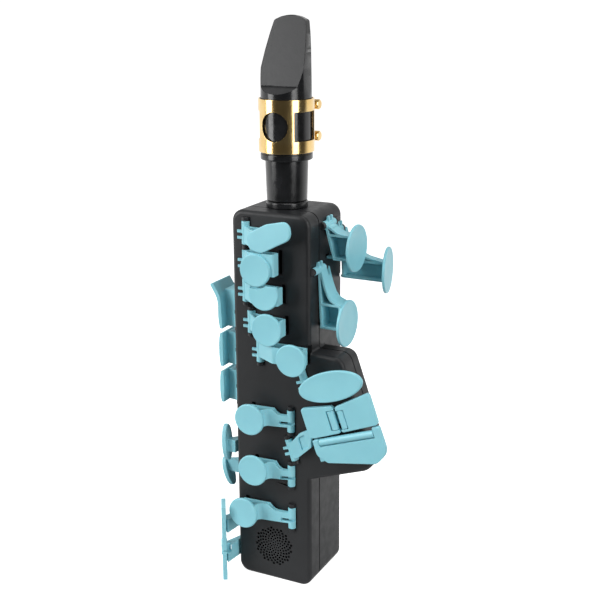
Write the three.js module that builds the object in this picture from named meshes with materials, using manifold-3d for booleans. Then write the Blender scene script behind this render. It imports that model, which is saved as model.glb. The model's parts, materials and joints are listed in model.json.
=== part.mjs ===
// Digital wind controller: a box-shaped electronic saxophone with a saxophone mouthpiece,
// twenty-three sprung keys, and its electronics between a front and a rear shell.
// Millimetres, +Z up, front face towards -Y, origin at the centre of the bottom face.
import * as THREE from 'three';
import { mergeVertices } from 'three/addons/utils/BufferGeometryUtils.js';
import Module from 'manifold-3d';

const wasm = await Module();
wasm.setup();

// Overall sizes of the housing
const bodyWidth = 44.3;
const bodyDepth = 38.5;
const bodyHeight = 205;
const bodyCornerRadius = 6;
const edgeFillet = 2.2;
const wall = 3.8;
const frontWall = 5.2;
const skin = 2;
const partingDepth = 11.1;
const seamGap = 0.3;

// The wing on the right side that carries the little-finger table
const wingDepth = 19.4;
const wingTopReach = 17.4;
const wingTipReach = 37.4;
const wingTopHeight = 134;
const wingTipHeight = 77.1;
const wingRootHeight = 63.7;
const wingTopRadius = 6;
const wingTipRadius = 8;
const wingRootRadius = 1.2;

// Clearances
const gap = 0.3;
const overrun = 1;
const mergeDistance = 0.0005;

// Roundness of turned shapes
const discSides = 16;
const hubSides = 8;
const lugSides = 6;
const pinSides = 6;
const rollerSides = 10;
const boreSides = 6;
const barrelSides = 20;

const finishes = {
  shell: { color: 0x26282b, roughness: 0.55, metalness: 0 },
  key: { color: 0x6fc3d2, roughness: 0.45, metalness: 0 },
  board: { color: 0x1d5a38, roughness: 0.6, metalness: 0 },
  chip: { color: 0x17181a, roughness: 0.5, metalness: 0 },
  cell: { color: 0x7f8790, roughness: 0.4, metalness: 0 },
  steel: { color: 0xb9bdc2, roughness: 0.3, metalness: 1 },
  brass: { color: 0xc79a45, roughness: 0.25, metalness: 1 },
  ebonite: { color: 0x0f1012, roughness: 0.2, metalness: 0 },
  cork: { color: 0xb98a5a, roughness: 0.9, metalness: 0 },
  cane: { color: 0xd9c48f, roughness: 0.6, metalness: 0 },
  rubber: { color: 0x1b1c1e, roughness: 0.85, metalness: 0 },
  tube: { color: 0xd8d8d2, roughness: 0.4, metalness: 0 },
};

const instrument = new THREE.Group();

// How far each key turns when pressed, in radians, and the frame of each key's axle
const keyPress = {};
const keyAxles = {};

// Turning geometries into solids and back
function solidFrom(geometry) {
  const bare = geometry.index ? geometry.clone() : mergeVertices(geometry.clone());
  for (const name of ['normal', 'uv']) bare.deleteAttribute(name);
  const merged = mergeVertices(bare, mergeDistance);
  const corners = [];
  for (let first = 0; first < merged.index.count; first += 3) {
    const [a, b, c] = merged.index.array.slice(first, first + 3);
    if (a !== b && b !== c && c !== a) corners.push(a, b, c);
  }
  return new wasm.Manifold(new wasm.Mesh({
    numProp: 3,
    vertProperties: new Float32Array(merged.attributes.position.array),
    triVerts: new Uint32Array(corners),
  }));
}

function geometryFrom(solid) {
  const mesh = solid.getMesh();
  const geometry = new THREE.BufferGeometry();
  geometry.setAttribute('position', new THREE.BufferAttribute(mesh.vertProperties, 3));
  geometry.setIndex(new THREE.BufferAttribute(mesh.triVerts, 1));
  geometry.computeVertexNormals();
  return geometry;
}

function joined(solids) {
  return solids.reduce((sum, solid) => sum.add(solid));
}

function addPiece(name, solid, finish, frame = new THREE.Matrix4()) {
  const mesh = new THREE.Mesh(geometryFrom(solid), new THREE.MeshStandardMaterial(finish));
  mesh.name = name;
  mesh.userData.press = keyPress[name];
  mesh.applyMatrix4(frame);
  instrument.add(mesh);
  return mesh;
}

// Basic solids, each taken straight from a three.js geometry
function block(size, centre, frame) {
  const geometry = new THREE.BoxGeometry(...size);
  geometry.translate(...centre);
  if (frame) geometry.applyMatrix4(frame);
  return solidFrom(geometry);
}

const quarterTurn = Math.PI / 2;
const turnTo = {
  x: new THREE.Matrix4().makeRotationZ(-quarterTurn),
  y: new THREE.Matrix4(),
  z: new THREE.Matrix4().makeRotationX(quarterTurn),
};

function rod(radius, length, axis, centre, sides, frame, endRadius = radius) {
  const geometry = new THREE.CylinderGeometry(endRadius, radius, length, sides);
  geometry.applyMatrix4(turnTo[axis]);
  geometry.translate(...centre);
  if (frame) geometry.applyMatrix4(frame);
  return solidFrom(geometry);
}

function turned(profile, sides, place = new THREE.Matrix4()) {
  const points = profile.map(([radius, height]) => new THREE.Vector2(radius, height));
  const geometry = new THREE.LatheGeometry(points, sides);
  geometry.applyMatrix4(turnTo.z);
  geometry.applyMatrix4(place);
  return solidFrom(geometry);
}

// An outline in the X-Z plane, swept towards +Y from the given start
function slab(outline, start, depth, bevel = 0) {
  const geometry = new THREE.ExtrudeGeometry(outline, {
    depth: depth - 2 * bevel,
    bevelEnabled: bevel > 0,
    bevelSize: bevel,
    bevelOffset: -bevel,
    bevelThickness: bevel,
    bevelSegments: 2,
    curveSegments: 2,
  });
  geometry.applyMatrix4(turnTo.z);
  geometry.translate(0, start + depth - bevel, 0);
  return solidFrom(geometry);
}

// A polygon whose corners are rounded by arcs; a corner is [x, y, radius].
// A fillet never takes more than its share of the shorter edge beside it.
const filletEdgeShare = 0.48;

function roundedShape(corners) {
  const shape = new THREE.Shape();
  corners.forEach(([x, y, wantedRadius], index) => {
    const corner = new THREE.Vector2(x, y);
    const before = new THREE.Vector2(...corners.at(index - 1));
    const after = new THREE.Vector2(...corners[(index + 1) % corners.length]);
    const room = filletEdgeShare * Math.min(corner.distanceTo(before), corner.distanceTo(after));
    const inward = before.sub(corner).normalize();
    const outward = after.sub(corner).normalize();
    const halfAngle = Math.acos(THREE.MathUtils.clamp(inward.dot(outward), -1, 1)) / 2;
    const setback = Math.min(wantedRadius / Math.tan(halfAngle), room);
    const radius = setback * Math.tan(halfAngle);
    const start = corner.clone().addScaledVector(inward, setback);
    const end = corner.clone().addScaledVector(outward, setback);
    if (index === 0) shape.moveTo(start.x, start.y);
    else shape.lineTo(start.x, start.y);
    if (radius > 0) {
      const toCentre = inward.clone().add(outward).normalize();
      const centre = corner.clone().addScaledVector(toCentre, radius / Math.sin(halfAngle));
      const from = start.clone().sub(centre).angle();
      const to = end.clone().sub(centre).angle();
      const clockwise = inward.cross(outward) > 0;
      shape.absarc(centre.x, centre.y, radius, from, to, clockwise);
    }
  });
  shape.closePath();
  return shape;
}

// The same corners moved inwards by a distance, for a counter-clockwise outline
const leastTurnShare = 0.1;

function insetCorners(corners, distance) {
  return corners.map(([x, y, radius], index) => {
    const corner = new THREE.Vector2(x, y);
    const before = new THREE.Vector2(...corners.at(index - 1));
    const after = new THREE.Vector2(...corners[(index + 1) % corners.length]);
    const first = corner.clone().sub(before).normalize();
    const second = after.sub(corner).normalize();
    const normal = new THREE.Vector2(-first.y - second.y, first.x + second.x).normalize();
    const stretch = distance / Math.max(normal.dot(new THREE.Vector2(-first.y, first.x)), leastTurnShare);
    const turnsLeft = first.cross(second) > 0;
    const newRadius = turnsLeft ? radius - distance : radius + distance;
    return [x + normal.x * stretch, y + normal.y * stretch, radius > 0 ? Math.max(newRadius, gap) : 0];
  });
}

// Frames: local x along the key's arm, y along its axle, z out of the housing
function faceFrame(outward, along, origin) {
  const across = new THREE.Vector3().crossVectors(outward, along);
  return new THREE.Matrix4().makeBasis(along, across, outward).setPosition(origin);
}

// Sizes that every lever key shares
const axleLift = 0.2;
const hubRadius = 2.1;
const hubShoulder = 1.9;
const hubLength = 12;
const pivotRadius = 1;
const pivotLength = 1;
const boreRadius = pivotRadius + gap;
const lugLength = 1.8;
const lugRadius = 2;
const grooveRadius = hubRadius + 0.5;
const armWall = 1.2;
const prongReach = 4.4;
const prongWidth = 1.3;
const prongPitch = 3.3;
const prongDrop = 1;
const prongRise = 1.5;
const touchRadius = 8.5;
const touchThickness = 1.7;
const touchRim = 0.5;
const touchHeight = 10;
const keyTravel = 1.6;
const footRoom = 0.6;

// Housing parts that the keys add to or cut from the shells
const housingLugs = [];
const housingCuts = [];

const faces = {
  front: { outward: new THREE.Vector3(0, -1, 0), offset: bodyDepth / 2 },
  right: { outward: new THREE.Vector3(1, 0, 0), offset: bodyWidth / 2 },
  left: { outward: new THREE.Vector3(-1, 0, 0), offset: bodyWidth / 2 },
  rear: { outward: new THREE.Vector3(0, 1, 0), offset: bodyDepth / 2 },
};

// A key's frame: its axle centre on a face of the housing, its arm along the given direction
function keyFrame(faceName, along, across, height) {
  const face = faces[faceName];
  const origin = face.outward.clone().multiplyScalar(face.offset + axleLift);
  const sideways = Math.abs(face.outward.x) > 0 ? new THREE.Vector3(0, 1, 0) : new THREE.Vector3(1, 0, 0);
  origin.addScaledVector(sideways, across);
  origin.z += height;
  return faceFrame(face.outward, along, origin);
}

function moved(x, y, z) {
  return new THREE.Matrix4().makeTranslation(x, y, z);
}

function disc(radius, thickness, place = new THREE.Matrix4(), sides = discSides) {
  const geometry = new THREE.LatheGeometry([
    new THREE.Vector2(0, 0),
    new THREE.Vector2(radius, 0),
    new THREE.Vector2(radius, thickness - touchRim),
    new THREE.Vector2(radius - touchRim, thickness),
    new THREE.Vector2(0, thickness),
  ], sides);
  geometry.applyMatrix4(turnTo.z);
  geometry.applyMatrix4(place);
  return solidFrom(geometry);
}

// A plan outline in a key's x-y plane, raised towards +z from the given level
function plate(corners, level, thickness, bevel = 0, place = new THREE.Matrix4(), segments = 1) {
  const geometry = new THREE.ExtrudeGeometry(roundedShape(corners), {
    depth: thickness - 2 * bevel,
    bevelEnabled: bevel > 0,
    bevelSize: bevel,
    bevelOffset: -bevel,
    bevelThickness: bevel,
    bevelSegments: 1,
    curveSegments: segments,
  });
  geometry.translate(0, 0, level + bevel);
  geometry.applyMatrix4(place);
  return solidFrom(geometry);
}

// An oval touch: a disc drawn out along the arm
function ovalDisc(halfLength, halfWidth, place) {
  const stretch = new THREE.Matrix4().makeScale(halfLength / touchRadius, halfWidth / touchRadius, 1);
  return disc(touchRadius, touchThickness, place.clone().multiply(stretch), discSides);
}

// A side profile in a key's x-z plane, given width along the axle about the given centre
function rib(corners, width, centre) {
  const shape = roundedShape(corners.map(([x, z, radius]) => [x, z, radius ?? 0]));
  const geometry = new THREE.ExtrudeGeometry(shape, { depth: width, bevelEnabled: false, curveSegments: 1 });
  geometry.applyMatrix4(turnTo.z);
  geometry.translate(0, centre + width / 2, 0);
  return solidFrom(geometry);
}

// The axle of a key: round hub and two pivots
function axle(length, shift = 0) {
  const hub = rod(hubRadius, length, 'y', [0, shift, 0], hubSides);
  return hub.add(rod(pivotRadius, length + 2 * pivotLength, 'y', [0, shift, 0], pinSides));
}

// The forked tail behind the hub
function forkedTail(drop = prongDrop) {
  return joined([-1, 1].map((way) => rib([
    [0, prongRise, 0],
    [-prongReach, prongRise, 0],
    [-prongReach, gap, 0],
    [0, -gap, 0],
  ], prongWidth, way * prongPitch / 2 - drop)));
}

// Room that an arm leaves for the two lugs beside its hub
function lugRoom(length, shift = 0) {
  const size = [4 * lugRadius, lugLength + 2 * gap, 4 * lugRadius];
  const place = (length + lugLength) / 2 + gap;
  return block(size, [0, shift - place, 0]).add(block(size, [0, shift + place, 0]));
}

// Bearing lugs, bores and groove of one key, in the housing
function addBearing(frame, length) {
  for (const side of [-1, 1]) {
    const lugReach = lugLength + gap;
    const lugCentre = side * (length + lugReach) / 2;
    housingLugs.push(rod(lugRadius, lugReach, 'y', [0, lugCentre, 0], lugSides, frame));
  }
  housingCuts.push(rod(boreRadius, length + 2 * (pivotLength + gap), 'y', [0, 0, 0], boreSides, frame));
  housingCuts.push(rod(grooveRadius, length + 2 * gap, 'y', [0, 0, 0], lugSides, frame));
}

// The slot in the face that the foot of a key dips into
function addFootSlot(frame, far, centre, width, press) {
  const dip = far * Math.sin(press) + footRoom;
  const slotWidth = armWall + 2 * footRoom;
  const slotLength = width + 2 * footRoom;
  const middle = far - armWall / 2 - footRoom / 2;
  housingCuts.push(block([slotWidth, slotLength, dip + axleLift + overrun],
    [middle, centre, (overrun - dip - axleLift) / 2], frame));
}

// Where the lines through two pairs of points cross
function crossing([ax, ay], [bx, by], [cx, cy], [dx, dy]) {
  const share = ((cx - ax) * (dy - cy) - (cy - ay) * (dx - cx)) / ((bx - ax) * (dy - cy) - (by - ay) * (dx - cx));
  return [ax + share * (bx - ax), ay + share * (by - ay), 0];
}

// A hollow arm, open on one side of the key: its side profile less the same profile inside
// the wall. The hollow runs to a point at the hub, where the first and last edges would meet.
function trayArm(corners, width, centre, openSide) {
  const outer = rib(corners, width, centre);
  const point = crossing(corners[0], corners[1], corners.at(-1), corners.at(-2));
  const inner = rib(insetCorners([point, ...corners.slice(1, -1)], armWall), width, centre + openSide * armWall);
  return outer.subtract(inner);
}

function pressFor(name, frame, lever, travel = keyTravel) {
  const press = Math.atan(travel / lever);
  keyPress[name] = press;
  keyAxles[name] = frame;
  return press;
}

const toRight = new THREE.Vector3(1, 0, 0);
const toLeft = new THREE.Vector3(-1, 0, 0);
const towardsRear = new THREE.Vector3(0, 1, 0);
const downwards = new THREE.Vector3(0, 0, -1);

// Upper front keys, played by the left hand: axle on the left, arm to the right.
// across, reach and arm are shares of the body's width, height of the body's height,
// and touch and tray are places along the axle as shares of the touch's radius.
const armWidth = 8.8;
const forkSlit = 1.4;
const upperKeyShares = {
  front_f_key: { across: -0.309, height: 0.945, reach: 0.377, arm: 0.4, touch: 0.1, tray: -0.12 },
  b_key: { across: -0.309, height: 0.872, reach: 0.226, arm: 0.458, touch: -0.2, tray: -0.14 },
  bis_key: { across: -0.314, height: 0.798, reach: 0.336, arm: 0.503, touch: 0.19, tray: 0.02 },
  a_key: { across: -0.253, height: 0.717, reach: 0.307, arm: 0.479, touch: -0.06, tray: 0.04 },
  g_key: { across: -0.142, height: 0.6424, reach: 0.506, arm: 0.639, touch: 0.05, tray: 0.18 },
};
const bisCutShare = 0.52;
const touchClearance = 1.1;
const paddleCornerShares = [
  [-0.58, -0.7, 0.28],
  [0.12, -0.82, 0.3],
  [0.74, -0.02, 0.32],
  [0.66, 1.0, 0.34],
  [-0.1, 0.62, 0.3],
  [-0.66, 0.1, 0.25],
];
const paddleSpan = 20;
const paddleTilt = -0.1;

// Room in the bis key's touch for the round touch of the B key above it
function neighbourRoom(level) {
  const own = upperKeyShares.bis_key;
  const next = upperKeyShares.b_key;
  const across = (next.across + next.reach - own.across) * bodyWidth;
  const height = (next.height - own.height) * bodyHeight + next.touch * touchRadius;
  return rod(touchRadius + touchClearance, 2 * touchHeight, 'z', [across, height, level], discSides);
}

function upperTouch(name, reach, offset, level) {
  if (name === 'front_f_key') {
    const corners = paddleCornerShares.map(([x, y, radius]) => [
      x * paddleSpan, y * paddleSpan / 2, radius * paddleSpan / 2]);
    const place = moved(reach, offset, level).multiply(new THREE.Matrix4().makeRotationY(paddleTilt));
    return plate(corners, 0, touchThickness, touchRim, place, 2);
  }
  const touch = disc(touchRadius, touchThickness, moved(reach, offset, level));
  if (name !== 'bis_key') return touch;
  const cut = bisCutShare * touchRadius;
  const half = touchRadius + overrun;
  return touch
    .subtract(block([2 * half, half, 2 * touchHeight], [reach, offset + cut + half / 2, level]))
    .subtract(neighbourRoom(level));
}

function addUpperKey(name, share) {
  const frame = keyFrame('front', toRight, share.across * bodyWidth, share.height * bodyHeight);
  const reach = share.reach * bodyWidth;
  const far = share.arm * bodyWidth;
  const press = pressFor(name, frame, reach);
  const level = touchHeight - axleLift - touchThickness;
  const seat = gap - axleLift;
  const trayCentre = share.tray * touchRadius;
  const shoulder = Math.min(reach, far) * 0.5;
  const side = [
    [0, seat],
    [far, seat + far * Math.tan(press)],
    [far, level + gap, hubRadius / 2],
    [shoulder, level + gap, hubRadius],
    [0, hubShoulder],
  ];
  const arm = trayArm(side, armWidth, trayCentre, 1);
  const touch = upperTouch(name, reach, share.touch * touchRadius, level);
  const slit = block([prongReach + hubRadius, forkSlit, touchHeight],
    [-(prongReach + hubRadius) / 2 - pivotRadius, -prongDrop, 0]);
  const key = joined([axle(hubLength), forkedTail(), arm, touch]).subtract(slit);
  addPiece(name, key, finishes.key, frame);
  addBearing(frame, hubLength);
  addFootSlot(frame, far, trayCentre, armWidth, press);
}

for (const [name, share] of Object.entries(upperKeyShares)) addUpperKey(name, share);

// Lower front keys, played by the right hand: axle on the right, arm to the left
const lowerKeyShares = {
  f_key: { across: 0.255, height: 0.4654, reach: 0.451, touch: -0.05 },
  e_key: { across: 0.255, height: 0.3141, reach: 0.418, touch: -0.33 },
  d_key: { across: 0.257, height: 0.1941, reach: 0.564, touch: -0.15 },
};
const lowerTrayWidth = 9.4;
const lowerTrayCentre = -1.3;
const lowerFrontRise = 1.2;
const pedestalReach = 6.4;
const forkLength = 5.6;

function addLowerKey(name, share) {
  const frame = keyFrame('front', toLeft, share.across * bodyWidth, share.height * bodyHeight);
  const reach = share.reach * bodyWidth;
  const far = reach + pedestalReach / 2;
  const press = pressFor(name, frame, reach);
  const level = touchHeight - axleLift - touchThickness;
  const seat = gap - axleLift;
  const shift = lowerTrayCentre + share.touch * touchRadius / 2;
  const pedestal = reach - pedestalReach;
  const side = [
    [0, seat],
    [far, seat + far * Math.tan(press)],
    [far, level + gap, hubRadius / 2],
    [pedestal, level + gap, 0],
    [pedestal - lowerFrontRise, hubRadius + 2 * lowerFrontRise, 2 * hubRadius],
    [0, hubShoulder],
  ];
  const arm = trayArm(side, lowerTrayWidth, shift, -1);
  const open = shift - lowerTrayWidth / 2;
  const notch = plate([
    [-hubRadius * 2, open - overrun, 0],
    [pedestal * 0.78, open - overrun, 0],
    [pedestal * 0.6, shift - prongPitch, hubRadius * 2],
    [-hubRadius * 2, shift - prongPitch / 2, 0],
  ], seat + armWall + far * Math.tan(press) * 0.5, touchHeight);
  const touch = disc(touchRadius, touchThickness, moved(reach, share.touch * touchRadius, level));
  const slit = block([forkLength + hubRadius, forkSlit, touchHeight],
    [(forkLength - hubRadius) / 2, prongDrop, touchHeight / 2]);
  const key = joined([axle(hubLength), arm.subtract(notch).subtract(lugRoom(hubLength)), touch]).subtract(slit);
  addPiece(name, key, finishes.key, frame);
  addBearing(frame, hubLength);
  addFootSlot(frame, far, shift, lowerTrayWidth, press);
}

for (const [name, share] of Object.entries(lowerKeyShares)) addLowerKey(name, share);

// Little-finger table on the wing. Its own axes are turned by the slope of the wing's edge,
// and its corners are shares of its length along x and of its drop along y.
const tableSlope = Math.atan2(wingTipReach - wingTopReach, wingTopHeight - wingTipHeight);
const tableAcross = 18.5;
const tableHeight = 121.2;
const tableLength = 38;
const tableDrop = 50;
const tablePlateHeight = 8;
const tablePlateThickness = 2.8;
const tableTravel = 1.2;
const ovalHeight = 9.4;
const rollerRadius = 1.9;
const rollerProud = 0.5;
const rollerPinRadius = 0.6;
const rollerPinLength = 0.8;
const tableHubLength = 9;
const postSide = 3;
const tableAlong = new THREE.Vector3(Math.cos(tableSlope), 0, Math.sin(tableSlope));
const tableTop = tablePlateHeight - axleLift;
const tableUnder = tableTop - tablePlateThickness;
const rollerLevel = tableTop + rollerProud - rollerRadius;

// A frame on the little-finger table, moved along its two axes by shares of its size
function tableFrame(alongShare, dropShare) {
  const frame = keyFrame('front', tableAlong, tableAcross, tableHeight);
  const shift = new THREE.Matrix4().makeTranslation(alongShare * tableLength, -dropShare * tableDrop, 0);
  return frame.multiply(shift);
}

function tableCorners(shares, alongShare, dropShare) {
  return shares.map(([along, drop, radius]) => [
    (along - alongShare) * tableLength, (dropShare - drop) * tableDrop, radius * tableDrop]);
}

// The notch for a roller in a plate's edge, open upwards and towards that edge, with bores
// for the roller's pins in the ears of the plate
function rollerNotch(axis, length, centre, openWay) {
  const depth = 2 * (rollerRadius + gap);
  const run = length + 2 * gap;
  const size = axis === 'y' ? [2 * depth, run, 2 * depth] : [run, 2 * depth, 2 * depth];
  const shift = openWay * depth / 2;
  const middle = axis === 'y'
    ? [centre[0] + shift, centre[1], centre[2] + depth / 2]
    : [centre[0], centre[1] + shift, centre[2] + depth / 2];
  const ears = length + 2 * rollerPinLength + 2 * gap;
  return block(size, middle).add(rod(rollerPinRadius + gap, ears, axis, centre, boreSides));
}

function addRoller(name, axis, length, centre, frame) {
  const barrel = rod(rollerRadius, length, axis, [0, 0, 0], rollerSides);
  const pin = rod(rollerPinRadius, length + 2 * rollerPinLength, axis, [0, 0, 0], pinSides);
  addPiece(name, barrel.add(pin), finishes.key, frame.clone().multiply(moved(...centre)));
}

function post(x, y, from, to) {
  return block([armWall, postSide, to - from], [x - armWall / 2, y, (from + to) / 2]);
}

// G sharp: the raised oval at the top of the table
const ovalShares = { along: 0, drop: 0.06, centre: 0.484, middle: 0.118, length: 0.484, width: 0.158 };

function addOvalKey() {
  const { along, drop, centre, middle, length, width } = ovalShares;
  const frame = tableFrame(along, drop);
  const halfLength = length * tableLength;
  const halfWidth = width * tableDrop;
  const reach = (centre - along) * tableLength;
  const offset = (drop - middle) * tableDrop;
  const press = pressFor('g_sharp_key', frame, reach, tableTravel);
  const level = ovalHeight - axleLift - touchThickness;
  const seat = gap - axleLift;
  const far = reach + armWall;
  const arm = trayArm([
    [0, seat],
    [far, seat + far * Math.tan(press)],
    [far, level + gap, hubRadius],
    [reach / 2, level + gap, hubRadius],
    [0, hubShoulder],
  ], armWidth, offset, -1);
  const oval = ovalDisc(halfLength, halfWidth, moved(reach, offset, level));
  const slit = block([prongReach + hubRadius, forkSlit, touchHeight],
    [-(prongReach + hubRadius) / 2 - pivotRadius, -prongDrop, 0]);
  const foot = post(far, offset, seat, level);
  const key = joined([axle(hubLength), forkedTail(), arm.subtract(lugRoom(hubLength)), oval, foot]);
  addPiece('g_sharp_key', key.subtract(slit), finishes.key, frame);
  addBearing(frame, hubLength);
  addFootSlot(frame, far, offset, postSide, press);
}
addOvalKey();

// C sharp: left plate of the table, on an arm from an axle of its own further left
const cSharpAxleShares = { along: -0.534, drop: 0.744 };
const cSharpPlateShares = [
  [-0.082, 0.616, 0.02],
  [0.0, 0.625, 0.02],
  [0.4, 0.615, 0.02],
  [0.4, 0.322, 0.03],
  [-0.082, 0.288, 0.03],
];
const cSharpArmShares = [
  [-0.534, 0.83, 0],
  [-0.44, 0.83, 0.02],
  [-0.12, 0.72, 0.02],
  [-0.07, 0.628, 0],
  [0.1, 0.56, 0],
  [-0.082, 0.53, 0],
  [-0.26, 0.56, 0.02],
  [-0.44, 0.64, 0.02],
  [-0.534, 0.66, 0],
];
const cSharpWindowShares = [
  [-0.29, 0.74, 0.01],
  [-0.19, 0.72, 0.01],
  [-0.19, 0.585, 0.01],
  [-0.29, 0.615, 0.01],
];
const cSharpFootShares = [0.12, 0.59, 0];
const cSharpRollerShares = { along: 0.342, drop: 0.471, length: 0.2 };

function addCSharpKey() {
  const { along, drop } = cSharpAxleShares;
  const frame = tableFrame(along, drop);
  const middle = tableCorners([cSharpFootShares], along, drop)[0];
  const press = pressFor('c_sharp_key', frame, middle[0], tableTravel);
  const seat = gap - axleLift;
  const touch = plate(tableCorners(cSharpPlateShares, along, drop), tableUnder, tablePlateThickness, touchRim);
  const join = tableCorners(cSharpPlateShares, along, drop)[0][0];
  const slope = rib([
    [0, seat],
    [join, tableUnder],
    [2 * join, tableUnder],
    [2 * join, tableTop - touchRim],
    [join, tableTop - touchRim],
    [0, hubShoulder],
  ], 2 * tableDrop, 0);
  const arm = slope.intersect(plate(tableCorners(cSharpArmShares, along, drop), -touchHeight, 2 * touchHeight));
  const window = plate(tableCorners(cSharpWindowShares, along, drop), seat, touchHeight);
  const foot = post(middle[0], middle[1], seat, tableTop - touchRim);
  const roller = tableCorners([[cSharpRollerShares.along, cSharpRollerShares.drop, 0]], along, drop)[0];
  const rollerLength = cSharpRollerShares.length * tableDrop;
  const rollerCentre = [roller[0], roller[1], rollerLevel];
  const slit = block([prongReach + hubRadius, forkSlit, touchHeight],
    [-(prongReach + hubRadius) / 2 - pivotRadius, 0, 0]);
  const key = joined([axle(hubLength), forkedTail(0), arm.subtract(window), touch, foot])
    .subtract(rollerNotch('y', rollerLength, rollerCentre, 1)).subtract(slit);
  addPiece('c_sharp_key', key, finishes.key, frame);
  addRoller('c_sharp_roller', 'y', rollerLength, rollerCentre, frame);
  addBearing(frame, hubLength);
  addFootSlot(frame, middle[0], middle[1], postSide, press);
}
addCSharpKey();

// B: right plate of the table, on a low arm that passes under the C sharp plate
const bAxleShares = { along: 0, drop: 0.47 };
const bPlateShares = [
  [0.43, 0.613, 0.02],
  [0.98, 0.594, 0.03],
  [0.98, 0.256, 0.03],
  [0.43, 0.338, 0.03],
];
const bRollerShares = { along: 0.488, drop: 0.48, length: 0.19 };
const lowArmTop = 2.4;
const lowArmWidth = 7;

function addLowBKey() {
  const { along, drop } = bAxleShares;
  const frame = tableFrame(along, drop);
  const corners = tableCorners(bPlateShares, along, drop);
  const start = corners[0][0];
  const reach = start + (corners[1][0] - start) / 2;
  const press = pressFor('low_b_key', frame, reach, tableTravel);
  const seat = gap - axleLift;
  const touch = plate(corners, tableUnder, tablePlateThickness, touchRim);
  const far = start + 2 * armWall;
  const arm = rib([
    [0, seat],
    [far, seat + far * Math.tan(press)],
    [far, tableTop - touchRim],
    [start + armWall, tableTop - touchRim],
    [start + armWall, lowArmTop],
    [0, lowArmTop],
  ], lowArmWidth, 0);
  const roller = tableCorners([[bRollerShares.along, bRollerShares.drop, 0]], along, drop)[0];
  const rollerLength = bRollerShares.length * tableDrop;
  const rollerCentre = [roller[0], roller[1], rollerLevel];
  const footReach = far + rollerRadius * 2;
  const foot = post(footReach, lowArmWidth / 2, seat, tableTop - touchRim);
  const beam = block([footReach - start, lowArmWidth, 2 * armWall],
    [(footReach + start) / 2, 0, seat + far * Math.tan(press) + 2 * armWall]);
  const key = joined([axle(tableHubLength), arm, touch, foot, beam])
    .subtract(rollerNotch('y', rollerLength, rollerCentre, -1));
  addPiece('low_b_key', key, finishes.key, frame);
  addRoller('low_b_roller', 'y', rollerLength, rollerCentre, frame);
  addBearing(frame, tableHubLength);
  addFootSlot(frame, footReach, lowArmWidth / 2, postSide, press);
}
addLowBKey();

// B flat: bottom plate of the table, straight over its axle, with the long roller
const bFlatAxleShares = { along: 0, drop: 0.79 };
const bFlatPlateShares = [
  [-0.055, 0.81, 0.08],
  [0.08, 0.905, 0.04],
  [0.787, 0.993, 0.05],
  [0.987, 0.897, 0.05],
  [0.98, 0.609, 0.02],
  [-0.055, 0.642, 0.02],
];
const bFlatRollerShares = { along: 0.455, drop: 0.679, length: 0.83 };

function addLowBFlatKey() {
  const { along, drop } = bFlatAxleShares;
  const frame = tableFrame(along, drop);
  const corners = tableCorners(bFlatPlateShares, along, drop);
  const reach = corners[2][0] * 0.6;
  const press = pressFor('low_b_flat_key', frame, reach, tableTravel);
  const seat = gap - axleLift;
  const touch = plate(corners, tableUnder, tablePlateThickness, touchRim);
  const web = block([2 * pivotRadius, tableHubLength, tableTop - touchRim],
    [0, 0, (tableTop - touchRim) / 2]);
  const roller = tableCorners([[bFlatRollerShares.along, bFlatRollerShares.drop, 0]], along, drop)[0];
  const rollerLength = bFlatRollerShares.length * tableLength;
  const rollerCentre = [roller[0], roller[1], rollerLevel];
  const foot = post(reach, 0, seat, tableTop - touchRim);
  const key = joined([axle(tableHubLength), web, touch, foot])
    .subtract(rollerNotch('x', rollerLength, rollerCentre, 1));
  addPiece('low_b_flat_key', key, finishes.key, frame);
  addRoller('low_b_flat_roller', 'x', rollerLength, rollerCentre, frame);
  addBearing(frame, tableHubLength);
  addFootSlot(frame, reach, 0, postSide, press);
}
addLowBFlatKey();

// Palm keys on the right side: axle on top, arm down and out to a large disc.
// across and arm centre are shares of the body's depth, the rest is in shares of the palm
// touch's radius, except the height, which is a share of the body's height.
const palmTouchRadius = 12.2;
const palmTouchThickness = 1.5;
const palmTravel = 1.4;
const palmKeyShares = {
  palm_d_key: {
    across: 0.057, height: 0.963, hub: 0.98, reach: 0.99, standoff: 1.27, shift: 0.24,
    boxTop: 0.36, boxBottom: 1.45, lean: 0.28, arm: -0.06, width: 0.66, neck: 0.3, turn: 0, tail: 0,
  },
  palm_e_flat_key: {
    across: 0.32, height: 0.937, hub: 0.74, reach: 1.66, standoff: 2.04, shift: 0.56,
    boxTop: 1.3, boxBottom: 2.16, lean: 0, arm: 0.53, width: 0.43, neck: 0.4, turn: 0.12, tail: -0.12,
  },
  palm_f_key: {
    across: -0.252, height: 0.8585, hub: 0.98, reach: 2.34, standoff: 1.16, shift: 0.56,
    boxTop: 1.42, boxBottom: 2.52, lean: 0, arm: 0.36, width: 0.84, neck: 0.45, turn: 0, tail: 0,
  },
};

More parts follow.
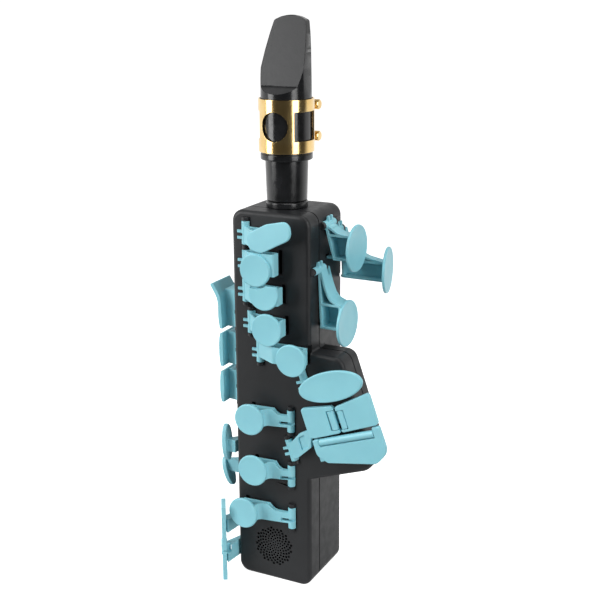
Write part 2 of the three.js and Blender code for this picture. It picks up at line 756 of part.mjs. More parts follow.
function addPalmKey(name, share) {
  const frame = keyFrame('right', downwards, share.across * bodyDepth, share.height * bodyHeight);
  const unit = palmTouchRadius;
  const length = share.hub * unit;
  const reach = share.reach * unit;
  const level = share.standoff * unit - axleLift - palmTouchThickness;
  const press = pressFor(name, frame, Math.hypot(reach, level), palmTravel);
  const seat = gap - axleLift;
  const bottom = share.boxBottom * unit;
  const top = share.boxTop * unit;
  const bottomSeat = seat + bottom * Math.tan(press) + share.lean * unit;
  const width = share.width * unit;
  const centre = share.arm * unit;
  const side = [
    [0, seat],
    [bottom, bottomSeat],
    [bottom, level + gap],
    [top, level + gap],
    [top * 0.86, level * 0.55, hubRadius],
    [top * share.neck, hubRadius * 1.9, hubRadius],
    [0, hubShoulder],
  ];
  const arm = trayArm(side, width, centre, -1);
  const shelfSeat = seat + (bottomSeat - seat) * top / bottom;
  const shelf = rib([
    [top, shelfSeat],
    [top + armWall, shelfSeat + armWall / 2],
    [top + armWall, level],
    [top, level],
  ], width, centre);
  const peg = post(bottom, centre, seat, bottomSeat + armWall / 2);
  const place = moved(reach, share.shift * unit, level)
    .multiply(new THREE.Matrix4().makeRotationX(share.turn));
  const touch = disc(palmTouchRadius, palmTouchThickness, place, discSides);
  const key = joined([axle(length), forkedTail(share.tail * unit), joined([arm, shelf]).subtract(lugRoom(length)), peg, touch]);
  addPiece(name, key, finishes.key, frame);
  addBearing(frame, length);
  addFootSlot(frame, bottom, centre, postSide, press);
}
for (const [name, share] of Object.entries(palmKeyShares)) addPalmKey(name, share);

// Side keys on the left: axle upright near the front edge, touch turned towards the hand.
// across is a share of the body's depth, height, length and lip of the body's height.
const sideHubLength = 7;
const sideStandoff = 12;
const sideTouchDepth = 18;
const sideTouchLead = 1.2;
const sideTouchThickness = 1.6;
const sideWebReach = 4.6;
const sideAcrossShare = -0.36;
const sideKeyShares = {
  side_e_key: { height: 0.727, length: 0.102, lip: 0.017 },
  side_c_key: { height: 0.6185, length: 0.091, lip: 0 },
  side_b_flat_key: { height: 0.5165, length: 0.087, lip: 0 },
};
const lipFlareShare = 1.3;

// A strip whose outline lies in a key's y-z plane, given depth along the arm
function strip(corners, start, depth) {
  const shape = roundedShape(corners.map(([y, z, radius]) => [y, z, radius ?? 0]));
  const geometry = new THREE.ExtrudeGeometry(shape, { depth, bevelEnabled: false, curveSegments: 2 });
  geometry.applyMatrix4(new THREE.Matrix4().makeBasis(
    new THREE.Vector3(0, 1, 0), new THREE.Vector3(0, 0, 1), new THREE.Vector3(1, 0, 0)));
  geometry.translate(start, 0, 0);
  return solidFrom(geometry);
}

// The touch of a side key, bowed along its length, with a flared lip at the top of the first
function sideTouch(half, lip, level) {
  const top = level + sideTouchThickness;
  const bow = sideTouchThickness / 2;
  const flare = lip * lipFlareShare;
  const lower = [[half, level - bow], [half, top - bow, bow], [half / 2, top]];
  const upper = lip > 0
    ? [[-half + lip, top, 2 * lip], [-half - lip, top + flare], [-half - lip - bow, level + flare],
      [-half + lip / 2, level, 2 * lip]]
    : [[-half / 2, top], [-half, top - bow, bow], [-half, level - bow]];
  return strip([...lower, ...upper].reverse(), -sideTouchLead, sideTouchDepth);
}

function addSideKey(name, share) {
  const frame = keyFrame('left', towardsRear, sideAcrossShare * bodyDepth, share.height * bodyHeight);
  const length = share.length * bodyHeight;
  const half = length / 2;
  const far = sideTouchDepth - sideTouchLead - armWall;
  const press = pressFor(name, frame, far);
  const level = sideStandoff - axleLift - sideTouchThickness;
  const seat = gap - axleLift;
  const hubShift = half - sideHubLength / 2 - lugLength - 2 * gap;
  const tray = trayArm([
    [0, seat],
    [far, seat + far * Math.tan(press)],
    [far, level + gap],
    [sideWebReach, level + gap],
    [sideWebReach - armWall, hubRadius + armWall],
    [0, hubShoulder],
  ], length - 2 * gap, 0, 1);
  const key = tray
    .subtract(lugRoom(sideHubLength, hubShift))
    .add(axle(sideHubLength, hubShift))
    .add(sideTouch(half, share.lip * bodyHeight, level));
  addPiece(name, key, finishes.key, frame);
  addBearing(frame.clone().multiply(moved(0, hubShift, 0)), sideHubLength);
}
for (const [name, share] of Object.entries(sideKeyShares)) addSideKey(name, share);

// Two oval keys lower on the left: axle upright on the side face, arm forwards to an oval
// that faces left. reach is a share of the body's depth, height, half and web of the body's
// height; the lower oval leans with its top outwards.
const towardsFront = new THREE.Vector3(0, -1, 0);
const ovalKeyShares = {
  high_f_sharp_key: { across: -0.1, height: 0.356, reach: 0.317, half: 0.0585, standoff: 0.235, lean: 0.03 },
  trill_key: { across: 0.08, height: 0.2805, reach: 0.301, half: 0.0512, standoff: 0.31, lean: 0.3 },
};
const ovalKeyHalfWidth = 3.8;
const ovalKeyArmWidth = 7;
const ovalKeyThickness = 2.6;

function addSideOvalKey(name, share) {
  const frame = keyFrame('left', towardsFront, share.across * bodyDepth, share.height * bodyHeight);
  const reach = share.reach * bodyDepth;
  const press = pressFor(name, frame, reach);
  const level = share.standoff * bodyDepth - axleLift - ovalKeyThickness;
  const seat = gap - axleLift;
  const far = reach + armWall;
  const arm = trayArm([
    [0, seat],
    [far, seat + far * Math.tan(press)],
    [far, level + ovalKeyThickness / 2],
    [reach - armWall, level + ovalKeyThickness / 2],
    [reach / 2, hubRadius + armWall, hubRadius],
    [0, hubShoulder],
  ], ovalKeyArmWidth, 0, -1);
  const stretch = new THREE.Matrix4().makeScale(
    ovalKeyHalfWidth / touchRadius, share.half * bodyHeight / touchRadius, ovalKeyThickness / touchThickness);
  const place = moved(reach, -share.standoff * touchRim, level)
    .multiply(new THREE.Matrix4().makeRotationX(share.lean))
    .multiply(stretch);
  const oval = disc(touchRadius, touchThickness, place, discSides);
  addPiece(name, joined([axle(tableHubLength), arm, oval]), finishes.key, frame);
  addBearing(frame, tableHubLength);
}
for (const [name, share] of Object.entries(ovalKeyShares)) addSideOvalKey(name, share);

// Two little-finger paddles at the lower left: axle upright on the side face, arm round the
// front edge to a slanting paddle ahead of the body, with a roller where the two meet
const paddleKeyShares = {
  low_e_flat_key: { height: 0.152, length: 0.125, arm: 0.146, armLength: 0.037, rollerEnd: -1 },
  low_c_key: { height: 0.0443, length: 0.0832, arm: 0.0635, armLength: 0.046, rollerEnd: 1 },
};
const paddleAcross = -12;
const paddleNear = 12;
const paddleFar = 22;
const paddleNearLevel = 7.65;
const paddleFarLevel = 1.65;
const paddleThickness = 2.4;
const paddleRollerRadius = 1.6;
const paddleRollerRoomShare = 0.62;

function addPaddleKey(name, share) {
  const frame = keyFrame('left', towardsFront, paddleAcross, share.arm * bodyHeight);
  const slope = new THREE.Vector2(paddleFar - paddleNear, paddleFarLevel - paddleNearLevel);
  const width = slope.length();
  const unit = slope.clone().normalize();
  const normal = new THREE.Vector2(-unit.y, unit.x);
  const press = pressFor(name, frame, (paddleNear + paddleFar) / 2, keyTravel);
  const seat = gap - axleLift;
  const length = share.length * bodyHeight;
  const centre = (share.height - share.arm) * bodyHeight;
  const inner = (x, z) => [x - normal.x * paddleThickness, z - normal.y * paddleThickness];
  const paddle = rib([
    inner(paddleNear, paddleNearLevel),
    inner(paddleFar, paddleFarLevel),
    [paddleFar, paddleFarLevel, paddleThickness / 3],
    [paddleNear, paddleNearLevel, paddleThickness / 3],
  ], length, centre);
  const join = paddleNear + width / 3;
  const arm = rib([
    [0, seat],
    [paddleNear - armWall, seat + (paddleNear - armWall) * Math.tan(press)],
    [join, paddleFarLevel],
    [paddleNear, paddleNearLevel - armWall],
    [0, hubShoulder],
  ], share.armLength * bodyHeight, 0);
  const slit = block([paddleNear * paddleRollerRoomShare, share.armLength * bodyHeight - 2 * armWall, touchHeight],
    [paddleNear * paddleRollerRoomShare, 0, touchHeight / 2 + armWall + seat]);
  const rollerLength = width * paddleRollerRoomShare;
  const end = centre + share.rollerEnd * length / 2;
  const middle = new THREE.Vector2(paddleNear + paddleFar, paddleNearLevel + paddleFarLevel).multiplyScalar(1 / 2);
  const axis = middle.addScaledVector(normal, rollerProud - paddleRollerRadius);
  const turn = new THREE.Matrix4().makeRotationY(-Math.atan2(slope.y, slope.x));
  const place = moved(axis.x, end - share.rollerEnd * (paddleRollerRadius + gap), axis.y).multiply(turn);
  const room = 2 * paddleRollerRadius + 2 * gap;
  const notch = block([rollerLength + 2 * gap, 2 * room, 2 * room], [0, share.rollerEnd * room / 2, 0], place)
    .add(rod(rollerPinRadius + gap, rollerLength + 2 * rollerPinLength + 2 * gap, 'x', [0, 0, 0], boreSides, place));
  const key = joined([axle(tableHubLength), arm.subtract(slit), paddle]).subtract(notch);
  addPiece(name, key, finishes.key, frame);
  const roller = rod(paddleRollerRadius, rollerLength, 'x', [0, 0, 0], rollerSides)
    .add(rod(rollerPinRadius, rollerLength + 2 * rollerPinLength, 'x', [0, 0, 0], pinSides));
  addPiece(name.replace('key', 'roller'), roller, finishes.key, frame.clone().multiply(place));
  addBearing(frame, tableHubLength);
}
for (const [name, share] of Object.entries(paddleKeyShares)) addPaddleKey(name, share);

// Octave key on the rear, for the left thumb: axle below, arm up to an oval
const upwards = new THREE.Vector3(0, 0, 1);
const octaveHeight = 160;
const octaveReach = 14;
const octaveHalfLength = 10;
const octaveHalfWidth = 6.5;
const octaveStandoff = 7;

function addOctaveKey() {
  const frame = keyFrame('rear', upwards, 0, octaveHeight);
  const press = pressFor('octave_key', frame, octaveReach);
  const level = octaveStandoff - axleLift - touchThickness;
  const seat = gap - axleLift;
  const far = octaveReach + armWall;
  const arm = trayArm([
    [0, seat],
    [far, seat + far * Math.tan(press)],
    [far, level + gap],
    [octaveReach / 3, level + gap, hubRadius],
    [0, hubShoulder],
  ], armWidth, 0, 1);
  const oval = ovalDisc(octaveHalfLength, octaveHalfWidth, moved(octaveReach, 0, level));
  addPiece('octave_key', joined([axle(hubLength), arm, oval]), finishes.key, frame);
  addBearing(frame, hubLength);
}
addOctaveKey();

// Housing: a body with a wing, hollow, split into a front and a rear shell
const frontPlane = -bodyDepth / 2;
const rearPlane = bodyDepth / 2;
const partingPlane = frontPlane + partingDepth;
const side = bodyWidth / 2;
const bodyCorners = [
  [-side, 0, bodyCornerRadius],
  [side, 0, bodyCornerRadius],
  [side, bodyHeight, bodyCornerRadius],
  [-side, bodyHeight, bodyCornerRadius],
];
const wingCorners = [
  [-side, 0, bodyCornerRadius],
  [side, 0, bodyCornerRadius],
  [side, wingRootHeight, wingRootRadius],
  [side + wingTipReach, wingTipHeight, wingTipRadius],
  [side + wingTopReach, wingTopHeight, wingTopRadius],
  [side, wingTopHeight, wingRootRadius],
  [side, bodyHeight, bodyCornerRadius],
  [-side, bodyHeight, bodyCornerRadius],
];

function housingOutside() {
  const body = slab(roundedShape(bodyCorners), frontPlane, bodyDepth, edgeFillet);
  const wing = slab(roundedShape(wingCorners), frontPlane, wingDepth, edgeFillet);
  return body.add(wing);
}

function housingInside() {
  const start = frontPlane + frontWall;
  const body = slab(roundedShape(insetCorners(bodyCorners, wall)), start, rearPlane - wall - start);
  const wing = slab(roundedShape(insetCorners(wingCorners, wall)), start, frontPlane + wingDepth - wall - start);
  return body.add(wing);
}

// Speaker grille: round holes in a spiral of even density
const grilleHeight = 20;
const grilleRadius = 11.2;
const grilleHoles = 24;
const grilleHoleRadius = 0.75;
const grilleHoleSides = 6;
const goldenAngle = Math.PI * (3 - Math.sqrt(5));

function grilleCuts() {
  const cuts = [];
  for (let index = 0; index < grilleHoles; index += 1) {
    const radius = grilleRadius * Math.sqrt((index + 1 / 2) / grilleHoles);
    const angle = index * goldenAngle;
    cuts.push(rod(grilleHoleRadius, skin + 2 * overrun, 'y', [
      radius * Math.cos(angle), frontPlane + skin / 2, grilleHeight + radius * Math.sin(angle),
    ], grilleHoleSides));
  }
  return joined(cuts);
}

// Main board across the body, held between the posts of the two shells
const boardThickness = 1.6;
const boardDepth = 8.2;
const boardWidth = 35.4;
const boardBottom = 40;
const boardTop = 200.5;
const boardFront = frontPlane + boardDepth;
const boardRear = boardFront + boardThickness;

// Case screws, driven from the rear through the posts of the rear shell into the front ones
const screwAcross = 14.3;
const screwHeights = [7.6, 88, 195.5];
const postRadius = 3.2;
const screwHeadRadius = 2.4;
const screwHeadLength = 1.8;
const screwShankRadius = 1.1;
const screwRecessRadius = screwHeadRadius + gap;
const screwRecessDepth = 3;
const screwBoreRadius = screwShankRadius + gap;
const screwTip = frontPlane + 5.2;
const screwPlaces = screwHeights.flatMap((height) => [[-screwAcross, height], [screwAcross, height]]);

// Neck: collar on the top, tenon through it, cork round the tenon
const neckHoleRadius = 6.6;
const neckFlangeRadius = 8.4;
const neckFlange = 2;
const collarRadius = 10.8;
const collarHeight = 3;
const tenonRadius = 6.3;
const tenonBore = 4;
const corkRadius = 7.8;
const corkBottom = 212;
const corkTop = 232;
const tenonTop = 234;
const collarBottom = bodyHeight + gap;
const collarTop = collarBottom + collarHeight;

// Sockets in the bottom face and buttons on the rear
const socketAcross = 5.6;
const socketDepthPlace = 7.5;
const usbWidth = 9;
const usbHeight = 3.3;
const usbLength = 7.5;
const usbShell = 0.4;
const phoneRadius = 3;
const phoneBore = 1.8;
const phoneLength = 12;
const socketShelf = 1.2;
const socketMargin = 2;
const buttonHeights = { power_button: 56, volume_up_button: 46, volume_down_button: 38 };
const buttonRadius = 2.6;
const buttonFlangeRadius = 3.4;
const buttonFlange = 1;
const buttonTravel = 0.6;
const buttonProud = 0.9;
const buttonAcross = 0;

// Battery: two round cells side by side in one wrap, lying on shelves of the rear shell
const cellRadius = 9;
const cellLength = 66;
const cellBottom = 94.5;
const batteryRear = rearPlane - wall - gap;
const shelfThickness = 1.2;
const batteryWidth = 4 * cellRadius;

// Speaker behind the grille, in a pocket of the front wall
const speakerRadius = 13;
const speakerDepth = 8;
const speakerFront = frontPlane + skin + gap;
const speakerRim = 1.2;
const speakerMagnetDepth = 3;

function rearPost(across, height) {
  const start = boardRear + gap;
  const end = rearPlane - wall + overrun;
  return rod(postRadius, end - start, 'y', [across, (start + end) / 2, height], hubSides);
}

function frontPost(across, height) {
  const start = frontPlane + wall / 2;
  const end = boardFront - gap;
  return rod(postRadius, end - start, 'y', [across, (start + end) / 2, height], hubSides);
}

function screwCuts() {
  return joined(screwPlaces.flatMap(([across, height]) => {
    const recess = rearPlane - screwRecessDepth;
    const boreStart = screwTip - gap;
    return [
      rod(screwRecessRadius, screwRecessDepth + overrun, 'y',
        [across, recess + (screwRecessDepth + overrun) / 2, height], hubSides),
      rod(screwBoreRadius, recess - boreStart + overrun, 'y',
        [across, (recess + boreStart + overrun) / 2, height], pinSides),
    ];
  }));
}

function socketCuts() {
  const usb = block([usbWidth + 2 * gap, usbHeight + 2 * gap, wall + 2 * overrun],
    [-socketAcross, socketDepthPlace, wall / 2]);
  const phone = rod(phoneRadius + gap, wall + 2 * overrun, 'z', [socketAcross, socketDepthPlace, wall / 2], discSides);
  return usb.add(phone);
}

function buttonCuts() {
  return joined(Object.values(buttonHeights).map((height) => rod(buttonRadius + gap, wall + 2 * overrun, 'y',
    [buttonAcross, rearPlane - wall / 2, height], hubSides)));
}

// Shelves under and over the battery, and the cradle that holds the sockets
function rearShelves() {
  const shelfDepth = cellRadius;
  const centre = rearPlane - wall - shelfDepth / 2 + overrun / 2;
  const shelves = [cellBottom - gap - shelfThickness / 2, cellBottom + cellLength + gap + shelfThickness / 2]
    .map((height) => block([batteryWidth, shelfDepth + overrun, shelfThickness], [0, centre, height]));
  return joined(shelves);
}

function splitHousing() {
  const speakerPocket = rod(speakerRadius + gap, frontWall, 'y',
    [0, frontPlane + skin + frontWall / 2, grilleHeight], barrelSides);
  const shape = housingOutside().add(joined(housingLugs)).subtract(housingInside())
    .subtract(joined(housingCuts)).subtract(speakerPocket).subtract(grilleCuts())
    .subtract(rod(neckHoleRadius, 2 * wall + 2 * overrun, 'z', [0, 0, bodyHeight], discSides))
    .subtract(socketCuts()).subtract(buttonCuts());
  const reach = 2 * (bodyWidth + wingTipReach);
  const middle = bodyHeight / 2;
  const frontHalf = block([reach, reach, 2 * bodyHeight], [0, partingPlane - seamGap / 2 - reach / 2, middle]);
  const rearHalf = block([reach, reach, 2 * bodyHeight], [0, partingPlane + seamGap / 2 + reach / 2, middle]);
  const screws = screwCuts();
  const front = joined([shape.intersect(frontHalf), ...screwPlaces.map((place) => frontPost(...place))]);
  const rear = joined([shape.intersect(rearHalf), rearShelves(), ...screwPlaces.map((place) => rearPost(...place))]);
  addPiece('front_shell', front.subtract(screws), finishes.shell);
  addPiece('rear_shell', rear.subtract(screws), finishes.shell);
}
splitHousing();

// Electronics between the shells, with one sensor on the board for each front key
const sensorSize = 3;
const sensorHeight = 1.2;
const sensorKeys = Object.keys(upperKeyShares).concat(Object.keys(lowerKeyShares).slice(0, 2));

function addBoard() {
  const board = block([boardWidth, boardThickness, boardTop - boardBottom],
    [0, boardFront + boardThickness / 2, (boardTop + boardBottom) / 2]);
  const holes = screwPlaces.filter(([, place]) => place > boardBottom).map(([across, place]) => rod(
    screwBoreRadius, boardThickness + 2 * overrun, 'y', [across, boardFront + boardThickness / 2, place], pinSides));
  const sensors = sensorKeys.map((name) => {
    const place = new THREE.Vector3().setFromMatrixPosition(keyAxles[name]);
    return block([sensorSize, 2 * sensorHeight, sensorSize], [place.x / 2, boardFront, place.z - hubLength / 2]);
  });
  addPiece('main_board', joined([board, ...sensors]).subtract(joined(holes)), finishes.board);
}
addBoard();

function addBattery() {
  const centre = batteryRear - cellRadius;
  const cells = [-1, 1].map((way) => rod(cellRadius, cellLength, 'z',
    [way * cellRadius, centre, cellBottom + cellLength / 2], barrelSides));
  const web = block([2 * cellRadius, cellRadius, cellLength],
    [0, centre, cellBottom + cellLength / 2]);
  addPiece('battery_pack', joined([...cells, web]), finishes.cell);
}
addBattery();

function addSpeaker() {
  const back = speakerFront + speakerDepth;
  const magnetRadius = speakerRadius / 2;
  const basket = turned([
    [0, speakerFront],
    [speakerRadius, speakerFront],
    [speakerRadius, speakerFront + speakerRim],
    [magnetRadius + speakerRim, back - speakerMagnetDepth],
    [magnetRadius, back - speakerMagnetDepth],
    [magnetRadius, back],
    [0, back],
  ], barrelSides, new THREE.Matrix4().makeRotationX(-quarterTurn).setPosition(0, 0, grilleHeight));
  addPiece('speaker_driver', basket, finishes.chip);
}
addSpeaker();

function addCaseScrews() {
  const seat = rearPlane - screwRecessDepth + gap;
  screwPlaces.forEach(([across, height], index) => {
    const head = rod(screwHeadRadius, screwHeadLength, 'y', [across, seat + screwHeadLength / 2, height], hubSides);
    const shank = rod(screwShankRadius, seat - screwTip + overrun, 'y',
      [across, (seat + screwTip + overrun) / 2, height], pinSides);
    addPiece(`case_screw_${index + 1}`, head.add(shank), finishes.steel);
  });
}
addCaseScrews();

// Sockets on a small board standing on the floor of the rear shell
function addSockets() {
  const floor = wall + gap;
  const usb = block([usbWidth, usbHeight, usbLength + skin],
    [-socketAcross, socketDepthPlace, (usbLength + skin) / 2 + gap])
    .subtract(block([usbWidth - 2 * usbShell, usbHeight - 2 * usbShell, usbLength],
      [-socketAcross, socketDepthPlace, usbLength / 2 - overrun]));
  addPiece('usb_socket', usb, finishes.steel);
  const phone = rod(phoneRadius, phoneLength, 'z', [socketAcross, socketDepthPlace, phoneLength / 2 + gap], discSides)
    .subtract(rod(phoneBore, phoneLength, 'z', [socketAcross, socketDepthPlace, phoneLength / 2 - skin], boreSides));
  addPiece('headphone_socket', phone, finishes.chip);
  const ledge = block([2 * socketAcross + usbWidth, socketShelf, phoneLength + socketMargin],
    [0, socketDepthPlace + phoneRadius + gap + socketShelf / 2, floor + (phoneLength + socketMargin) / 2]);
  addPiece('socket_board', ledge, finishes.board);
}
addSockets();

function addButton(name, height) {
  const inner = rearPlane - wall - gap;
  const outer = rearPlane + buttonProud;
  const cap = rod(buttonRadius, outer - inner + buttonFlange, 'y',
    [buttonAcross, (outer + inner - buttonFlange) / 2, height], hubSides);
  const flange = rod(buttonFlangeRadius, buttonFlange, 'y', [buttonAcross, inner - buttonFlange / 2, height], hubSides);
  addPiece(name, cap.add(flange), finishes.rubber);
}
for (const [name, height] of Object.entries(buttonHeights)) addButton(name, height);

// Thumb rest, thumb hook and strap ring on the rear
const thumbRestHeight = 140;
const thumbRestRadius = 9;
const thumbRestProud = 4;
const hookHeight = 76;
const hookWidth = 18;
const hookReach = 15;
const hookPlate = 2.4;
const hookRise = 26;
const ringHeight = 112;
const ringRadius = 5;
const ringWire = 1.3;
const ringPlate = 2;
const ringSteps = 14;

function addThumbRest() {
  const dome = turned([
    [0, rearPlane + gap],
    [thumbRestRadius, rearPlane + gap],
    [thumbRestRadius, rearPlane + gap + thumbRestProud / 4],
    [thumbRestRadius * 0.85, rearPlane + gap + thumbRestProud * 0.75],
    [thumbRestRadius * 0.55, rearPlane + gap + thumbRestProud],
    [0, rearPlane + gap + thumbRestProud * 0.85],
  ], discSides, new THREE.Matrix4().makeRotationX(-quarterTurn).setPosition(0, 0, thumbRestHeight));
  addPiece('thumb_rest', dome, finishes.rubber);
}
addThumbRest();

function addThumbHook() {
  const back = rearPlane + gap;
  const profile = roundedShape([
    [back, hookHeight, 0],
    [back + hookPlate, hookHeight, hookPlate / 3],
    [back + hookPlate, hookHeight + hookRise - 2 * hookPlate, 2 * hookPlate],
    [back + hookReach - hookPlate, hookHeight + hookRise - hookPlate, hookPlate],
    [back + hookReach - hookPlate, hookHeight + hookRise / 2, 0],
    [back + hookReach, hookHeight + hookRise / 2, 0],
    [back + hookReach, hookHeight + hookRise, 2 * hookPlate],
    [back, hookHeight + hookRise, 0],
  ]);
  const geometry = new THREE.ExtrudeGeometry(profile, { depth: hookWidth, bevelEnabled: false, curveSegments: 3 });
  geometry.applyMatrix4(new THREE.Matrix4().makeBasis(
    new THREE.Vector3(0, 1, 0), new THREE.Vector3(0, 0, 1), new THREE.Vector3(1, 0, 0)));
  geometry.translate(-hookWidth / 2, 0, 0);
  addPiece('thumb_hook', solidFrom(geometry), finishes.rubber);
}
addThumbHook();

function addStrapRing() {
  const back = rearPlane + gap;
  const centre = new THREE.Vector3(0, back + ringPlate + ringRadius - ringWire / 2, ringHeight);
  const path = new THREE.CatmullRomCurve3(Array.from({ length: ringSteps }, (_, step) => {
    const angle = 2 * Math.PI * step / ringSteps;
    return new THREE.Vector3(0, centre.y + ringRadius * Math.cos(angle), centre.z + ringRadius * Math.sin(angle));
  }), true);
  const section = new THREE.Shape().absarc(0, 0, ringWire, 0, 2 * Math.PI, false);
  const ring = new THREE.ExtrudeGeometry(section, { steps: ringSteps, extrudePath: path, curveSegments: 3, bevelEnabled: false });
  const foot = block([3 * ringWire * 2, ringPlate, 4 * ringWire], [0, back + ringPlate / 2, ringHeight]);
  addPiece('strap_ring', solidFrom(ring).add(foot), finishes.steel);
}
addStrapRing();

// Neck
function addNeck() {
  const collar = turned([
    [neckFlangeRadius, collarBottom],
    [collarRadius, collarBottom],
    [collarRadius, collarTop - touchRim],
    [collarRadius - touchRim, collarTop],
    [tenonRadius + gap, collarTop],
    [tenonRadius + gap, collarBottom],
    [neckFlangeRadius, collarBottom],
  ], barrelSides);
  addPiece('neck_collar', collar, finishes.ebonite);
  const flangeTop = bodyHeight - wall - gap;
  const tenon = turned([
    [tenonBore, flangeTop - neckFlange],
    [neckFlangeRadius, flangeTop - neckFlange],
    [neckFlangeRadius, flangeTop],
    [tenonRadius, flangeTop],
    [tenonRadius, tenonTop],
    [tenonBore, tenonTop],
    [tenonBore, flangeTop - neckFlange],
  ], barrelSides);
  addPiece('neck_tenon', tenon, finishes.ebonite);
  const cork = turned([
    [tenonRadius + gap, corkBottom],
    [corkRadius, corkBottom],
    [corkRadius, corkTop - touchRim],
    [corkRadius - touchRim, corkTop],
    [tenonRadius + gap, corkTop],
    [tenonRadius + gap, corkBottom],
  ], barrelSides);
  addPiece('neck_cork', cork, finishes.cork);
}
addNeck();

// Mouthpiece: turned shank and body, beak sloping back from the front, table, window and
// reed on the rear
const mouthpieceBore = corkRadius + gap;
const shankBottom = collarTop + gap;
const shankRadius = 10.45;
const shankTopRadius = 10.97;
const shankTop = 227;
const ringBottom = 229.5;
const ringRadiusOuter = 13.3;
const ringTop = 232.6;
const bodyRadiusLow = 12.9;
const bodyRadiusHigh = 12.3;
const bodyTop = 263;
const beakTop = 300;
const beakTopHalfWidth = 7.2;
const beakShoulder = 264;
const beakLead = 2;
const beakTipFront = 6.4;
const beakTipRear = 8.3;
const tableBottom = 236;
const tableDepth = 9.6;
const tipRadius = 9;
const boreTop = 258;
const chamberWidth = 11;
const windowBottom = 268;
const windowTop = 297.6;
const tipRoom = 1.6;

function acrossSweep(corners, width, curveSegments = 4) {
  const shape = roundedShape(corners.map(([y, z, radius]) => [y, z, radius ?? 0]));
  const geometry = new THREE.ExtrudeGeometry(shape, { depth: width, bevelEnabled: false, curveSegments });
  geometry.applyMatrix4(new THREE.Matrix4().makeBasis(
    new THREE.Vector3(0, 1, 0), new THREE.Vector3(0, 0, 1), new THREE.Vector3(1, 0, 0)));
  geometry.translate(-width / 2, 0, 0);
  return solidFrom(geometry);
}

function addMouthpiece() {
  const outside = turned([
    [0, shankBottom],
    [shankRadius, shankBottom],
    [shankTopRadius, shankTop],
    [shankTopRadius, ringBottom],
    [ringRadiusOuter, ringBottom + touchRim],
    [ringRadiusOuter, ringTop],
    [bodyRadiusLow, ringTop + touchRim],
    [bodyRadiusLow, beakShoulder - beakLead],
    [bodyRadiusHigh, beakTop],
    [0, beakTop],
  ], barrelSides);
  const profile = acrossSweep([
    [-2 * bodyRadiusLow, shankBottom - overrun],
    [2 * bodyRadiusLow, shankBottom - overrun],
    [2 * bodyRadiusLow, tableBottom],
    [tableDepth, tableBottom],
    [tableDepth - gap, windowBottom],
    [beakTipRear, beakTop],
    [beakTipFront, beakTop],
    [(beakTipFront - bodyRadiusHigh) * 0.42, (beakTop + beakShoulder) / 2, 60],
    [-bodyRadiusHigh - overrun, beakShoulder - beakLead],
    [-2 * bodyRadiusLow, beakShoulder - beakLead],
  ], 4 * bodyRadiusLow);
  const sides = slab(roundedShape([
    [-2 * bodyRadiusLow, shankBottom - overrun, 0],
    [2 * bodyRadiusLow, shankBottom - overrun, 0],
    [2 * bodyRadiusLow, bodyTop, 0],
    [bodyRadiusHigh, bodyTop, 0],
    [bodyRadiusHigh * 0.89, (bodyTop * 2 + beakTop) / 3, 60],
    [beakTopHalfWidth * 1.08, beakTop, 5],
    [-beakTopHalfWidth * 1.08, beakTop, 5],
    [-bodyRadiusHigh * 0.89, (bodyTop * 2 + beakTop) / 3, 60],
    [-bodyRadiusHigh, bodyTop, 0],
    [-2 * bodyRadiusLow, bodyTop, 0],
  ]), -2 * bodyRadiusLow, 4 * bodyRadiusLow);
  const bore = rod(mouthpieceBore, boreTop - shankBottom + overrun, 'z',
    [0, 0, (boreTop + shankBottom - overrun) / 2], discSides);
  const chamber = acrossSweep([
    [-mouthpieceBore / 2, boreTop - overrun],
    [mouthpieceBore / 2, boreTop - overrun],
    [2 * bodyRadiusLow, windowBottom],
    [2 * bodyRadiusLow, windowTop],
    [beakTipRear, windowTop],
    [0, boreTop + 2 * mouthpieceBore],
  ], chamberWidth);
  const solid = outside.intersect(profile).intersect(sides).subtract(bore).subtract(chamber);
  addPiece('mouthpiece', solid, finishes.ebonite);
}
addMouthpiece();

// Reed: flat on the table, round at the back, thinned towards the tip
const reedBottom = 238;
const reedTop = 299.4;
const reedHalfWidth = 8;
const reedTip = 0.5;
const reedHeart = 2;
const reedScrape = 272;

function addReed() {
  const flat = tableDepth + gap;
  const blade = acrossSweep([
    [flat, reedBottom],
    [bodyRadiusLow, reedBottom],
    [bodyRadiusLow, reedScrape - tipRadius],
    [flat + reedHeart, reedScrape],
    [flat + reedTip, reedTop],
    [flat, reedTop],
  ], 2 * reedHalfWidth);
  const round = rod(bodyRadiusLow, beakTop - shankBottom, 'z', [0, 0, (beakTop + shankBottom) / 2], barrelSides);
  const outline = slab(roundedShape([
    [-reedHalfWidth * 0.85, reedBottom, 0],
    [reedHalfWidth * 0.85, reedBottom, 0],
    [reedHalfWidth, reedTop, tipRadius * 0.8],
    [-reedHalfWidth, reedTop, tipRadius * 0.8],
  ]), 0, 2 * bodyRadiusLow);
  addPiece('reed', blade.intersect(round).intersect(outline), finishes.cane);
}
addReed();

// Ligature: a sheet ring with windows, closed at the rear by two screws
const ligatureInner = bodyRadiusLow + gap + 0.2;
const ligatureWall = 0.8;
const ligatureBottom = 233.6;
const ligatureTop = 260;
const ligatureMiddle = (ligatureBottom + ligatureTop) / 2;
const windowRadius = 7.3;
const windowRing = 2.2;
const sideWindowHeight = 14.4;
const sideWindowFrom = 0.75;
const sideWindowTo = 1.83;
const rearSlit = 4;
const lugTubeRadius = 2.2;
const lugTubeLength = 4.5;
const ligatureScrewRadius = 0.9;
const ligatureScrewHeights = { lower_ligature_screw: 239.5, upper_ligature_screw: 255.5 };
const thumbHeadRadius = 2.6;
const thumbHeadLength = 4;
const screwSet = ligatureInner + ligatureWall + lugTubeRadius - gap;

